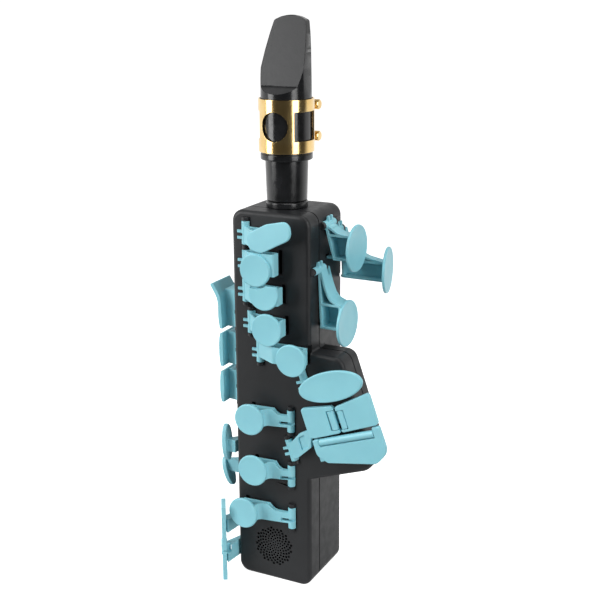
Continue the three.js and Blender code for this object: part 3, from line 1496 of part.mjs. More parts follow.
function sideWindow(way) {
  const steps = 3;
  const reach = ligatureInner + ligatureWall + 2 * overrun;
  const shape = new THREE.Shape();
  shape.moveTo(0, 0);
  for (let step = 0; step <= steps; step += 1) {
    const angle = sideWindowFrom + (sideWindowTo - sideWindowFrom) * step / steps;
    shape.lineTo(way * reach * Math.sin(angle), -reach * Math.cos(angle));
  }
  shape.closePath();
  const geometry = new THREE.ExtrudeGeometry(shape, { depth: sideWindowHeight, bevelEnabled: false });
  geometry.translate(0, 0, ligatureMiddle - sideWindowHeight / 2);
  return solidFrom(geometry);
}

function addLigature() {
  const outer = ligatureInner + ligatureWall;
  const band = turned([
    [ligatureInner, ligatureBottom],
    [outer, ligatureBottom],
    [outer, ligatureTop],
    [ligatureInner, ligatureTop],
    [ligatureInner, ligatureBottom],
  ], barrelSides);
  const frontWindow = rod(windowRadius, 2 * outer, 'y', [0, -outer, ligatureMiddle], discSides);
  const slit = block([rearSlit, 2 * lugTubeRadius * 2, 2 * bodyHeight], [0, outer, ligatureMiddle]);
  const tubes = Object.values(ligatureScrewHeights).flatMap((height) => [-1, 1].flatMap((way) => {
    const across = way * (rearSlit + lugTubeLength) / 2;
    return [
      rod(lugTubeRadius, lugTubeLength, 'x', [across, screwSet, height], lugSides),
      block([lugTubeLength, 2 * lugTubeRadius, 2 * lugTubeRadius], [across, screwSet - lugTubeRadius, height]),
    ];
  }));
  const bores = Object.values(ligatureScrewHeights).map((height) => rod(
    ligatureScrewRadius + gap, 4 * lugTubeLength, 'x', [0, screwSet, height], pinSides));
  const core = rod(ligatureInner, 2 * bodyHeight, 'z', [0, 0, ligatureMiddle], barrelSides);
  const ring = band.subtract(frontWindow).subtract(sideWindow(-1)).subtract(sideWindow(1));
  const solid = joined([ring, ...tubes]).subtract(core).subtract(slit).subtract(joined(bores));
  addPiece('ligature', solid, finishes.brass);
  for (const [name, height] of Object.entries(ligatureScrewHeights)) {
    const length = rearSlit + 2 * lugTubeLength + 2 * gap;
    const headPlace = length / 2 + thumbHeadLength / 2;
    const screw = rod(ligatureScrewRadius, length, 'x', [0, screwSet, height], pinSides)
      .add(rod(thumbHeadRadius, thumbHeadLength, 'x', [headPlace, screwSet, height], hubSides));
    addPiece(name, screw, finishes.brass);
  }
}
addLigature();

// Breath sensor on the board and its tube down from the neck
const breathSensorSize = [9, 6, 8];
const breathSensorHeight = 180;
const nippleRadius = 1.6;
const nippleLength = 3;
const tubeRadius = 2.6;
const tubeBore = nippleRadius + 2 * gap;

function addBreathSensor() {
  const [width, depth, height] = breathSensorSize;
  const centre = boardRear + gap + depth / 2;
  const box = block([width, depth, height], [0, centre, breathSensorHeight]);
  const nipple = rod(nippleRadius, nippleLength + overrun, 'z',
    [0, centre, breathSensorHeight + (height + nippleLength - overrun) / 2], hubSides);
  addPiece('breath_sensor', box.add(nipple), finishes.chip);
  const top = new THREE.Vector3(0, 0, bodyHeight - wall - neckFlange - 2 * gap);
  const bottom = new THREE.Vector3(0, centre, breathSensorHeight + height / 2 + gap);
  const path = new THREE.CatmullRomCurve3([
    bottom,
    bottom.clone().setZ(bottom.z + nippleLength),
    top.clone().setZ(top.z - nippleLength),
    top,
  ]);
  const section = new THREE.Shape().absarc(0, 0, tubeRadius, 0, 2 * Math.PI, false);
  section.holes.push(new THREE.Path().absarc(0, 0, tubeBore, 0, 2 * Math.PI, true));
  const tube = new THREE.ExtrudeGeometry(section, { steps: ringSteps / 2, extrudePath: path, curveSegments: 3, bevelEnabled: false });
  addPiece('breath_tube', solidFrom(tube), finishes.tube);
}
addBreathSensor();

export default instrument;
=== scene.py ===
import json
import math

import bmesh
import bpy
from mathutils import Matrix, Vector


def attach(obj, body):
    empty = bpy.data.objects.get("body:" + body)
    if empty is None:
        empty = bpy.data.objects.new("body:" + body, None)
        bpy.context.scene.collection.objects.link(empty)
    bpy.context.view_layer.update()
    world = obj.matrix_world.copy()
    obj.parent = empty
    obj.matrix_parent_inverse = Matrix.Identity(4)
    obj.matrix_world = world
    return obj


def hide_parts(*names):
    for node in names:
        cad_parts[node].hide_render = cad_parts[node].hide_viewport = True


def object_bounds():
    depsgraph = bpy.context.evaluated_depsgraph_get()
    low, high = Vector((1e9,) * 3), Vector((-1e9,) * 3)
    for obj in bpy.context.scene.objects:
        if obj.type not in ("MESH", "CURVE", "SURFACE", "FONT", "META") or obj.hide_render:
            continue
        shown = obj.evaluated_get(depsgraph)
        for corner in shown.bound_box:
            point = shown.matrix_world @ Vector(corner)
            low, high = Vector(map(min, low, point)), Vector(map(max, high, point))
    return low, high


# Digital wind controller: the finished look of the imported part.
# Shapes are worked out in millimetres and set down in metres, +Z up, front face towards -Y.
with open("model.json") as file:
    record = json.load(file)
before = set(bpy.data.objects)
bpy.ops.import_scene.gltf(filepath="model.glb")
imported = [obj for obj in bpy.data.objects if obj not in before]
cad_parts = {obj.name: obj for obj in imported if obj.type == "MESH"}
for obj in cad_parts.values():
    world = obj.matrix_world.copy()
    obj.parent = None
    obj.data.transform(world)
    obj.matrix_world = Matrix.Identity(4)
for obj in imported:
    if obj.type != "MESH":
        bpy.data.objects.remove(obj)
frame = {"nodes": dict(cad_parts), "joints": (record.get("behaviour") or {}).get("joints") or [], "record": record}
cad_lowest, cad_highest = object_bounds()

MILLIMETRE = 0.001
TO_METRES = Matrix.Scale(MILLIMETRE, 4)
IN_PLACE = Matrix.Identity(4)
X_AXIS = Vector((1, 0, 0))
Y_AXIS = Vector((0, 1, 0))


def at(x, y, z):
    return Matrix.Translation((x, y, z))


# Finishes: a noise is given by its feature size in millimetres, its detail, roughness and stretch
NOISE_LOW = 0.35
NOISE_HIGH = 0.65
MOULD_PATCH = 14.0
GLOSS_SPREAD = 0.05


def add_node(tree, kind, links=(), **settings):
    node = tree.nodes.new(kind)
    for name, value in settings.items():
        node.inputs[name.replace("_", " ")].default_value = value
    for name, source in dict(links).items():
        tree.links.new(source, node.inputs[name])
    return node


def place_on_piece(tree, stretch=(1, 1, 1)):
    coordinates = tree.nodes.new("ShaderNodeTexCoord")
    mapping = add_node(tree, "ShaderNodeMapping", {"Vector": coordinates.outputs["Object"]}, Scale=stretch)
    return mapping.outputs["Vector"]


def add_noise(tree, size, detail, roughness=0.5, stretch=(1, 1, 1)):
    noise = add_node(tree, "ShaderNodeTexNoise", {"Vector": place_on_piece(tree, stretch)},
                     Scale=1 / (size * MILLIMETRE), Detail=detail, Roughness=roughness)
    return noise.outputs["Fac"]


def raise_surface(tree, height, depth):
    bump = add_node(tree, "ShaderNodeBump", {"Height": height}, Strength=1.0, Distance=depth * MILLIMETRE)
    tree.links.new(bump.outputs["Normal"], tree.nodes["Principled BSDF"].inputs["Normal"])


def finish(name, roughness, tint=None, gloss=None, relief=None, **settings):
    """A finish. Tint is two colours and their noise, gloss two roughnesses and their noise, and relief
    a depth in millimetres and its noise."""
    material = bpy.data.materials.new(name)
    material.use_nodes = True
    tree = material.node_tree
    shader = tree.nodes["Principled BSDF"]
    for socket, value in {"Roughness": roughness, **settings}.items():
        shader.inputs[socket.replace("_", " ")].default_value = value
    if tint:
        ramp = tree.nodes.new("ShaderNodeValToRGB")
        for element, position, colour in zip(ramp.color_ramp.elements, (NOISE_LOW, NOISE_HIGH), tint):
            element.position = position
            element.color = (*colour, 1)
        tree.links.new(add_noise(tree, *tint[2:]), ramp.inputs["Fac"])
        tree.links.new(ramp.outputs["Color"], shader.inputs["Base Color"])
    if gloss:
        spread = add_node(tree, "ShaderNodeMapRange", {"Value": add_noise(tree, *gloss[2:])},
                          From_Min=NOISE_LOW, From_Max=NOISE_HIGH, To_Min=gloss[0], To_Max=gloss[1])
        tree.links.new(spread.outputs["Result"], shader.inputs["Roughness"])
    if relief:
        raise_surface(tree, add_noise(tree, *relief[1:]), relief[0])
    return material


def moulded_plastic(name, colour, shade, roughness, grain, depth, specular=0.5, **settings):
    """Moulded plastic: slow colour drift, uneven gloss and the fine grain of the mould."""
    return finish(name, roughness, (colour, shade, MOULD_PATCH, 3.0),
                  (roughness - GLOSS_SPREAD, roughness + GLOSS_SPREAD, MOULD_PATCH / 3, 4.0),
                  (depth, grain, 2.0, 0.6), Specular_IOR_Level=specular, **settings)


def pressed_cork():
    """Cork sheet: pale grains with dark pores between them."""
    material = finish("pressed_cork", 0.85, ((0.3, 0.17, 0.08), (0.62, 0.42, 0.24), 0.5, 4.0, 0.7),
                      Specular_IOR_Level=0.2)
    tree = material.node_tree
    grains = add_node(tree, "ShaderNodeTexVoronoi", {"Vector": place_on_piece(tree)},
                      Scale=1 / (0.9 * MILLIMETRE))
    raise_surface(tree, grains.outputs["Distance"], 0.06)
    return material


def solder_mask():
    """Board laminate: green lacquer over a faint weave of tracks."""
    material = finish("solder_mask", 0.3)
    tree = material.node_tree
    tracks = add_node(tree, "ShaderNodeTexBrick", {"Vector": place_on_piece(tree)},
                      Scale=1 / (4 * MILLIMETRE), Color1=(0.012, 0.13, 0.045, 1),
                      Color2=(0.01, 0.11, 0.04, 1), Mortar=(0.02, 0.2, 0.07, 1), Mortar_Size=0.06)
    tree.links.new(tracks.outputs["Color"], tree.nodes["Principled BSDF"].inputs["Base Color"])
    raise_surface(tree, tracks.outputs["Fac"], 0.03)
    return material


# Fine lines round the ligature, round the steel pieces, along the filed beak and along the cane
TURNED_LINES = (3.0, 4.0, 0.7, (1, 1, 30))
BRUSHED_LINES = (2.0, 4.0, 0.7, (1, 1, 14))
FILE_LINES = (1.6, 4.0, 0.6, (6, 1, 1))
FIBRES = (2.0, 5.0, 0.7, (8, 8, 0.25))
BEAK = finish("satin_ebonite", 0.42, ((0.012, 0.0125, 0.0135), (0.019, 0.0195, 0.021), *FILE_LINES),
              (0.36, 0.5, *FILE_LINES), (0.006, *FILE_LINES))
SLOT_FINISHES = {
    "shell": moulded_plastic("black_plastic", (0.0115, 0.0125, 0.014), (0.0145, 0.0155, 0.017),
                             0.46, 0.3, 0.016, 0.4),
    "key": moulded_plastic("turquoise_plastic", (0.255, 0.6, 0.69), (0.275, 0.635, 0.72), 0.42, 0.35, 0.012,
                           Subsurface_Weight=0.12, Subsurface_Radius=(0.25, 0.7, 0.9),
                           Subsurface_Scale=0.8 * MILLIMETRE),
    "board": solder_mask(),
    "chip": moulded_plastic("component_black", (0.016, 0.016, 0.017), (0.024, 0.024, 0.025), 0.5, 0.2, 0.01),
    "cell": moulded_plastic("shrink_wrap", (0.05, 0.12, 0.3), (0.06, 0.14, 0.34), 0.24, 1.2, 0.02),
    "steel": finish("nickel_steel", 0.26, ((0.55, 0.55, 0.56), (0.68, 0.68, 0.69), *BRUSHED_LINES),
                    (0.2, 0.32, *BRUSHED_LINES), (0.006, *BRUSHED_LINES), Metallic=1.0),
    "brass": finish("lacquered_brass", 0.16, ((0.78, 0.53, 0.2), (0.86, 0.63, 0.28), 9.0, 3.0),
                    (0.12, 0.22, *TURNED_LINES), (0.004, *TURNED_LINES),
                    Metallic=1.0, Coat_Weight=0.4, Coat_Roughness=0.06),
    "ebonite": finish("polished_ebonite", 0.16, ((0.006, 0.0065, 0.007), (0.014, 0.0145, 0.016), 8.0, 4.0),
                      (0.12, 0.24, 3.0, 5.0, 0.6), (0.003, 2.4, 2.0, 0.5, (1, 1, 12))),
    "cork": pressed_cork(),
    "cane": finish("planed_cane", 0.5, ((0.62, 0.44, 0.2), (0.82, 0.68, 0.4), *FIBRES),
                   relief=(0.03, *FIBRES)),
    "rubber": moulded_plastic("matt_rubber", (0.014, 0.014, 0.015), (0.02, 0.02, 0.021),
                              0.78, 0.25, 0.03, 0.3),
    "tube": finish("clear_hose", 0.3, ((0.62, 0.62, 0.58), (0.78, 0.78, 0.74), 3.0, 3.0),
                   Transmission_Weight=0.4),
}
NODE_SLOTS = {part["node"]: part["material_slot"] for part in frame["record"]["subparts"]}
NODE_BODIES = {node: body for body, nodes in frame["record"]["behaviour"]["bodies"].items() for node in nodes}


# Putting finished shapes into the scene
SMOOTH_BELOW = math.radians(34)
SHARP_ABOVE = math.radians(38)
FLAT_BELOW = math.radians(0.6)


def mesh_of(name, shape):
    mesh = bpy.data.meshes.new(name)
    shape.to_mesh(mesh)
    shape.free()
    return mesh


def show(name, data):
    thing = bpy.data.objects.new(name, data)
    bpy.context.scene.collection.objects.link(thing)
    return thing


def set_down(name, shape, node, place=TO_METRES):
    """Makes a piece of a shape, rides it on the node's body and lets it stand for the node."""
    shape.transform(place)
    mesh = mesh_of(name, shape)
    mesh.materials.append(SLOT_FINISHES[NODE_SLOTS[node]])
    mesh.shade_smooth()
    mesh.set_sharp_from_angle(angle=SMOOTH_BELOW)
    piece = show(name, mesh)
    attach(piece, NODE_BODIES[node])
    piece.modifiers.new("even_shading", "WEIGHTED_NORMAL").keep_sharp = True
    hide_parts(node)
    return piece


def soften_edges(shape, width):
    """Makes flat faces whole, in convex pieces, and rounds the sharp edges that have room for it."""
    bmesh.ops.remove_doubles(shape, verts=shape.verts, dist=0.02 * width)
    bmesh.ops.dissolve_limit(shape, angle_limit=FLAT_BELOW, verts=shape.verts, edges=shape.edges)
    bmesh.ops.triangulate(shape, faces=[face for face in shape.faces if len(face.verts) > 4])
    bmesh.ops.join_triangles(shape, faces=shape.faces, angle_face_threshold=0.01, angle_shape_threshold=1.2)
    edges = [edge for edge in shape.edges
             if len(edge.link_faces) == 2
             and edge.calc_face_angle(0) > SHARP_ABOVE
             and edge.calc_length() > 4 * width
             and min(face.calc_area() for face in edge.link_faces) > 0.8 * width * edge.calc_length()]
    bmesh.ops.bevel(shape, geom=edges, offset=width, segments=2, profile=0.5, affect="EDGES",
                    clamp_overlap=False, material=-1)


def copy_of(node):
    """A clean copy of a CAD node: its loose triangles merged and its flat faces made whole."""
    shape = bmesh.new()
    shape.from_mesh(frame["nodes"][node].data)
    bmesh.ops.remove_doubles(shape, verts=shape.verts, dist=0.02 * MILLIMETRE)
    bmesh.ops.dissolve_limit(shape, angle_limit=FLAT_BELOW, verts=shape.verts, edges=shape.edges)
    return shape


# Sizes shared with the part, in millimetres
BODY_WIDTH = 44.3
BODY_DEPTH = 38.5
BODY_HEIGHT = 205.0
GAP = 0.3
AXLE_LIFT = 0.2
HUB_RADIUS = 2.1
HUB_SHOULDER = 1.9
HUB_LENGTH = 12.0
PIVOT_RADIUS = 1.0
PIVOT_LENGTH = 1.0
LUG_LENGTH = 1.8
LUG_RADIUS = 2.0
ARM_WALL = 1.2
PRONG_REACH = 4.4
PRONG_WIDTH = 1.3
PRONG_PITCH = 3.3
PRONG_DROP = 1.0
PRONG_RISE = 1.5
TOUCH_RADIUS = 8.5
TOUCH_THICKNESS = 1.7
TOUCH_RIM = 0.6
TOUCH_DISH = 0.22
TOUCH_HEIGHT = 10.0
FOOT_ROOM = 0.6
SEAT = GAP - AXLE_LIFT
TOUCH_LEVEL = TOUCH_HEIGHT - AXLE_LIFT - TOUCH_THICKNESS
TAIL_SLIT = 1.4
# How far a cutting shape runs past the face that it opens
OVERRUN = 1.0


# Solid shapes, in millimetres
EDGE_SHARE = 0.48


def rounded(corners, steps=6):
    """The points of a polygon whose corners (x, y, radius) are rounded by arcs."""
    points = []
    for index, (x, y, *radius) in enumerate(corners):
        radius = radius[0] if radius else 0
        corner = Vector((x, y))
        before = Vector(corners[index - 1][:2])
        after = Vector(corners[(index + 1) % len(corners)][:2])
        inward = (before - corner).normalized()
        outward = (after - corner).normalized()
        half = inward.angle(outward) / 2
        if radius <= 0 or half > math.pi / 2 - 0.01:
            points.append(corner)
            continue
        room = EDGE_SHARE * min((corner - before).length, (corner - after).length)
        setback = min(radius / math.tan(half), room)
        arc_radius = setback * math.tan(half)
        centre = corner + (inward + outward).normalized() * arc_radius / math.sin(half)
        start = corner + inward * setback - centre
        sweep = math.pi - 2 * half
        if inward.cross(outward) > 0:
            sweep = -sweep
        count = max(1, round(steps * abs(sweep) / (math.pi / 2)))
        for step in range(count + 1):
            turn = Matrix.Rotation(sweep * step / count, 2)
            points.append(centre + turn @ start)
    return points


def prism(points, depth, place=IN_PLACE):
    """A flat outline drawn out along the third axis of its place."""
    shape = bmesh.new()
    face = shape.faces.new([shape.verts.new((point[0], point[1], 0)) for point in points])
    drawn = bmesh.ops.extrude_face_region(shape, geom=[face])
    ends = [part for part in drawn["geom"] if isinstance(part, bmesh.types.BMVert)]
    bmesh.ops.translate(shape, verts=ends, vec=(0, 0, depth))
    shape.transform(place)
    bmesh.ops.remove_doubles(shape, verts=shape.verts, dist=0.0005)
    bmesh.ops.recalc_face_normals(shape, faces=shape.faces)
    return shape


def turned(profile, steps=48, place=IN_PLACE):
    """A profile of (radius, height) points turned about the third axis of its place."""
    shape = bmesh.new()
    points = [shape.verts.new((radius, 0, height)) for radius, height in profile]
    edges = [shape.edges.new(pair) for pair in zip(points, points[1:])]
    bmesh.ops.spin(shape, geom=points + edges, cent=(0, 0, 0), axis=(0, 0, 1), angle=math.tau,
                   steps=steps, use_merge=True)
    bmesh.ops.remove_doubles(shape, verts=shape.verts, dist=0.0005)
    bmesh.ops.dissolve_degenerate(shape, dist=0.0002, edges=shape.edges)
    shape.transform(place)
    bmesh.ops.recalc_face_normals(shape, faces=shape.faces)
    return shape


def box(size, centre, place=IN_PLACE):
    shape = bmesh.new()
    bmesh.ops.create_cube(shape, size=1)
    shape.transform(place @ Matrix.Translation(centre) @ Matrix.Diagonal((*size, 1)))
    bmesh.ops.recalc_face_normals(shape, faces=shape.faces)
    return shape


# Turns that lay a shape's own third axis along another axis
ALONG = {
    "x": Matrix(((0, 0, 1, 0), (1, 0, 0, 0), (0, 1, 0, 0), (0, 0, 0, 1))),
    "y": Matrix(((1, 0, 0, 0), (0, 0, 1, 0), (0, -1, 0, 0), (0, 0, 0, 1))),
    "z": IN_PLACE,
}
# Side profiles: the outline's axes are x and z, and it is drawn out along y
SIDE_ON = Matrix(((1, 0, 0, 0), (0, 0, 1, 0), (0, 1, 0, 0), (0, 0, 0, 1)))
# End profiles: the outline's axes are y and z, and it is drawn out along x
END_ON = ALONG["x"]


def rod(radius, length, axis, centre, steps=32, chamfer=0.0, place=IN_PLACE):
    half = length / 2
    profile = [(0, -half), (radius - chamfer, -half), (radius, chamfer - half),
               (radius, half - chamfer), (radius - chamfer, half), (0, half)]
    if not chamfer:
        profile = [(0, -half), (radius, -half), (radius, half), (0, half)]
    return turned(profile, steps, place @ Matrix.Translation(centre) @ ALONG[axis])


def combined(base, operation, tools):
    """The base joined with, cut by or kept inside other solids, one after another."""
    made = []
    group = bpy.data.collections.new("tools")
    bpy.context.scene.collection.children.link(group)
    for number, shape in enumerate([base, *tools]):
        solid = bpy.data.objects.new(f"solid_{number}", mesh_of(f"solid_{number}", shape))
        holder = group if number else bpy.context.scene.collection
        holder.objects.link(solid)
        made.append(solid)
    step = made[0].modifiers.new("step", "BOOLEAN")
    step.operation = operation
    step.solver = "MANIFOLD"
    step.operand_type = "COLLECTION"
    step.collection = group
    graph = bpy.context.evaluated_depsgraph_get()
    result = bmesh.new()
    result.from_mesh(made[0].evaluated_get(graph).to_mesh())
    for solid in made:
        mesh = solid.data
        bpy.data.objects.remove(solid)
        bpy.data.meshes.remove(mesh)
    bpy.data.collections.remove(group)
    return result


def joined(*shapes):
    return combined(shapes[0], "UNION", shapes[1:])


def cut(shape, *tools):
    return combined(shape, "DIFFERENCE", tools)


def kept(shape, *tools):
    return combined(shape, "INTERSECT", tools)


def rib(corners, width, centre, steps=5):
    """A side profile in a key's x-z plane, as wide as given along its axle."""
    place = at(0, centre - width / 2, 0) @ SIDE_ON
    return prism(rounded(corners, steps), width, place)


def plate(corners, level, thickness, rim=0.0, place=IN_PLACE, steps=6):
    """A plan outline in a key's x-y plane, raised from the given level, with a rounded rim."""
    shape = prism(rounded(corners, steps), thickness, at(0, 0, level))
    if rim:
        flat = [edge for edge in shape.edges if abs(edge.verts[0].co.z - edge.verts[1].co.z) < 0.001]
        bmesh.ops.bevel(shape, geom=flat, offset=rim, segments=3, profile=0.5, affect="EDGES",
                        clamp_overlap=True, material=-1)
        bmesh.ops.remove_doubles(shape, verts=shape.verts, dist=0.0005)
    shape.transform(place)
    bmesh.ops.recalc_face_normals(shape, faces=shape.faces)
    return shape


def dished_disc(place, radius=TOUCH_RADIUS, thickness=TOUCH_THICKNESS, dish=TOUCH_DISH, rim=TOUCH_RIM):
    """A round touch: a rolled rim round a slightly hollow face."""
    profile = [(0, 0), (radius - rim / 2, 0), (radius, rim / 2)]
    for step in range(5):
        angle = math.radians(step * 22.5)
        profile.append((radius - rim + rim * math.cos(angle), thickness - rim + rim * math.sin(angle)))
    inner = radius - 2 * rim
    for step in range(1, 5):
        angle = step / 5 * math.pi / 2
        profile.append((inner * math.cos(angle), thickness - dish * math.sin(angle)))
    profile.append((0, thickness - dish))
    return turned(profile, 56, place)


def inset_corners(corners, distance):
    """The corners moved inwards by a distance, with their radii made to match."""
    result = []
    for index, (x, y, *radius) in enumerate(corners):
        radius = radius[0] if radius else 0
        corner = Vector((x, y))
        first = (corner - Vector(corners[index - 1][:2])).normalized()
        second = (Vector(corners[(index + 1) % len(corners)][:2]) - corner).normalized()
        normal = Vector((-first.y - second.y, first.x + second.x)).normalized()
        stretch = distance / max(normal.dot(Vector((-first.y, first.x))), 0.1)
        grown = radius - distance if first.cross(second) > 0 else radius + distance
        result.append((x + normal.x * stretch, y + normal.y * stretch, max(grown, GAP) if radius else 0))
    return result


def crossing(a, b, c, d):
    """The corner, without a radius, where the lines a-b and c-d cross."""
    share = ((c[0] - a[0]) * (d[1] - c[1]) - (c[1] - a[1]) * (d[0] - c[0])) / (
        (b[0] - a[0]) * (d[1] - c[1]) - (b[1] - a[1]) * (d[0] - c[0]))
    return (a[0] + share * (b[0] - a[0]), a[1] + share * (b[1] - a[1]), 0)


# Parts that the keys share, in a key's own frame: x along the arm, y along the axle, z outwards
def forked_tail(drop=PRONG_DROP):
    corners = [(0, PRONG_RISE), (-PRONG_REACH, PRONG_RISE, 0.5), (-PRONG_REACH, GAP, 0.3), (0, -GAP)]
    return [rib(corners, PRONG_WIDTH, way * PRONG_PITCH / 2 - drop) for way in (-1, 1)]


def lug_room(length, shift=0.0):
    size = (4 * LUG_RADIUS, LUG_LENGTH + 2 * GAP, 4 * LUG_RADIUS)
    place = (length + LUG_LENGTH) / 2 + GAP
    return [box(size, (0, shift - place, 0)), box(size, (0, shift + place, 0))]


def underside(node, far, lean=0.0):
    """The first corners of an arm, which rises so that it stays off the face when it is pressed."""
    return [(0, SEAT), (far, SEAT + far * math.tan(press_of(node)) + lean)]


def tray_arm(node, far, upper_corners, width, centre, open_side, lean=0.0):
    """An arm hollowed from one side: its side profile less the same profile inside the wall."""
    corners = [*underside(node, far, lean), *upper_corners, (0, HUB_SHOULDER)]
    outer = rib(corners, width, centre)
    point = crossing(corners[0], corners[1], corners[-1], corners[-2])
    inner = rib(inset_corners([point, *corners[1:-1]], ARM_WALL), width, centre + open_side * ARM_WALL)
    return cut(outer, inner)


def tail_slit(drop=PRONG_DROP):
    length = PRONG_REACH + HUB_RADIUS
    return box((length, TAIL_SLIT, TOUCH_HEIGHT), (-length / 2 - PIVOT_RADIUS, -drop, 0))


KEY_JOINTS = {joint["child"]: joint for joint in frame["joints"]}


def joint_frame(node):
    """The frame of a key's axle, in millimetres, from its joint."""
    joint = KEY_JOINTS[NODE_BODIES[node]]
    origin = Vector(joint["pos_m"]) / MILLIMETRE
    axle_way = Vector(joint["axis"])
    if abs(origin.y) > 0.49 * BODY_DEPTH:
        outward = Y_AXIS * math.copysign(1, origin.y)
    else:
        outward = X_AXIS * math.copysign(1, origin.x)
    arm_way = axle_way.cross(outward)
    turn = Matrix((arm_way, axle_way, outward)).transposed().to_4x4()
    return Matrix.Translation(origin) @ turn


def press_of(node):
    return math.radians(KEY_JOINTS[node]["range_deg"][1])


# Housing, in the part's own frame: what the keys add to it and cut from it
HOUSING_LUGS = []
HOUSING_CUTS = []
BORE_RADIUS = PIVOT_RADIUS + GAP
GROOVE_RADIUS = HUB_RADIUS + 0.5


def seated_axle(node, length, shift=0.0, foot=None):
    """A key's axle. The housing gets its two bored lugs, its groove and the slot for the key's foot."""
    place = joint_frame(node)
    reach = LUG_LENGTH + GAP
    for side in (-1, 1):
        middle = shift + side * (length + reach) / 2
        HOUSING_LUGS.append(rod(LUG_RADIUS, reach, "y", (0, middle, 0), 28, 0.3, place))
    bore = rod(BORE_RADIUS, length + 2 * (PIVOT_LENGTH + GAP), "y", (0, shift, 0), 24, 0, place)
    groove = rod(GROOVE_RADIUS, length + 2 * GAP, "y", (0, shift, 0), 36, 0, place)
    HOUSING_CUTS.extend([bore, groove])
    if foot:
        far, centre, width = foot
        dip = far * math.sin(press_of(node)) + FOOT_ROOM
        size = (ARM_WALL + 2 * FOOT_ROOM, width + 2 * FOOT_ROOM, dip + AXLE_LIFT + OVERRUN)
        middle = (far - ARM_WALL / 2 - FOOT_ROOM / 2, centre, (OVERRUN - dip - AXLE_LIFT) / 2)
        HOUSING_CUTS.append(box(size, middle, place))
    return joined(rod(HUB_RADIUS, length, "y", (0, shift, 0), 32, 0.2),
                  rod(PIVOT_RADIUS, length + 2 * PIVOT_LENGTH, "y", (0, shift, 0), 20))


# Front keys of the left hand: reach and arm are shares of the case's width, touch and tray of the
# touch's radius, and width is a share of the usual arm
UPPER_KEY_SHARES = {
    "front_f_key": {"reach": 0.377, "arm": 0.4, "touch": 0.1, "tray": -0.12},
    "b_key": {"reach": 0.226, "arm": 0.458, "touch": -0.2, "tray": 0.16, "width": 1.3},
    "bis_key": {"reach": 0.336, "arm": 0.503, "touch": 0.19, "tray": 0.02},
    "a_key": {"reach": 0.307, "arm": 0.479, "touch": -0.06, "tray": 0.04},
    "g_key": {"reach": 0.506, "arm": 0.639, "touch": 0.05, "tray": 0.18},
}
ARM_WIDTH = 8.8
KEY_PITCH_SHARE = 0.07317
NEIGHBOUR_ROOM = 1.1
FLAT_EDGE_SHARE = 0.52
FRONT_F_TILT = -0.1
FRONT_F_RIM = 0.55
FRONT_F_CORNERS = [
    (-10.6, -6.8, 4), (-3.5, -8.8, 7), (14.8, 0.6, 5), (13.8, 9.8, 5), (0, 6.6, 5), (-11.6, 0.6, 4),
]


def upper_touch(node, reach, offset):
    if node == "front_f_key":
        place = at(reach, offset, TOUCH_LEVEL) @ Matrix.Rotation(FRONT_F_TILT, 4, "Y")
        return plate(FRONT_F_CORNERS, 0, TOUCH_THICKNESS, FRONT_F_RIM, place, 8)
    touch = dished_disc(at(reach, offset, TOUCH_LEVEL))
    if node != "bis_key":
        return touch
    half = TOUCH_RADIUS + OVERRUN
    above = box((2 * half, half, 2 * TOUCH_HEIGHT),
                (reach, offset + FLAT_EDGE_SHARE * TOUCH_RADIUS + half / 2, TOUCH_LEVEL))
    own = joint_frame("bis_key").translation
    neighbour = joint_frame("b_key").translation
    share = UPPER_KEY_SHARES["b_key"]
    across = neighbour.x + share["reach"] * BODY_WIDTH - own.x
    height = neighbour.z - own.z + share["touch"] * TOUCH_RADIUS
    room = rod(TOUCH_RADIUS + NEIGHBOUR_ROOM, 2 * TOUCH_HEIGHT, "z", (across, height, TOUCH_LEVEL), 56)
    return cut(touch, above, room)


def upper_key(node):
    share = UPPER_KEY_SHARES[node]
    reach = share["reach"] * BODY_WIDTH
    far = share["arm"] * BODY_WIDTH
    centre = share["tray"] * TOUCH_RADIUS
    width = ARM_WIDTH * share.get("width", 1)
    arm = tray_arm(node, far, [
        (far, TOUCH_LEVEL + GAP, HUB_RADIUS / 2), (min(reach, far) / 2, TOUCH_LEVEL + GAP, HUB_RADIUS),
    ], width, centre, 1)
    if width > ARM_WIDTH:
        edge = BODY_HEIGHT * KEY_PITCH_SHARE - HUB_LENGTH / 2 - LUG_LENGTH - 3 * GAP
        arm = cut(arm, box((3 * HUB_RADIUS, width, TOUCH_HEIGHT), (0, edge + width / 2, 0)))
    touch = upper_touch(node, reach, share["touch"] * TOUCH_RADIUS)
    axle = seated_axle(node, HUB_LENGTH, foot=(far, centre, width))
    return cut(joined(arm, axle, *forked_tail(), touch), tail_slit())


# Front keys of the right hand, in the same shares
LOWER_KEY_SHARES = {
    "f_key": {"reach": 0.451, "touch": -0.05},
    "e_key": {"reach": 0.418, "touch": -0.33},
    "d_key": {"reach": 0.564, "touch": -0.15},
}
LOWER_TRAY_WIDTH = 9.4
LOWER_TRAY_CENTRE = -1.3
LOWER_FRONT_RISE = 1.2
LOWER_NOTCH_SHARE = 0.74
PEDESTAL_REACH = 6.4
FORK_LENGTH = 5.6
FORK_SLIT = 1.6
HALF_FORK = 3.35


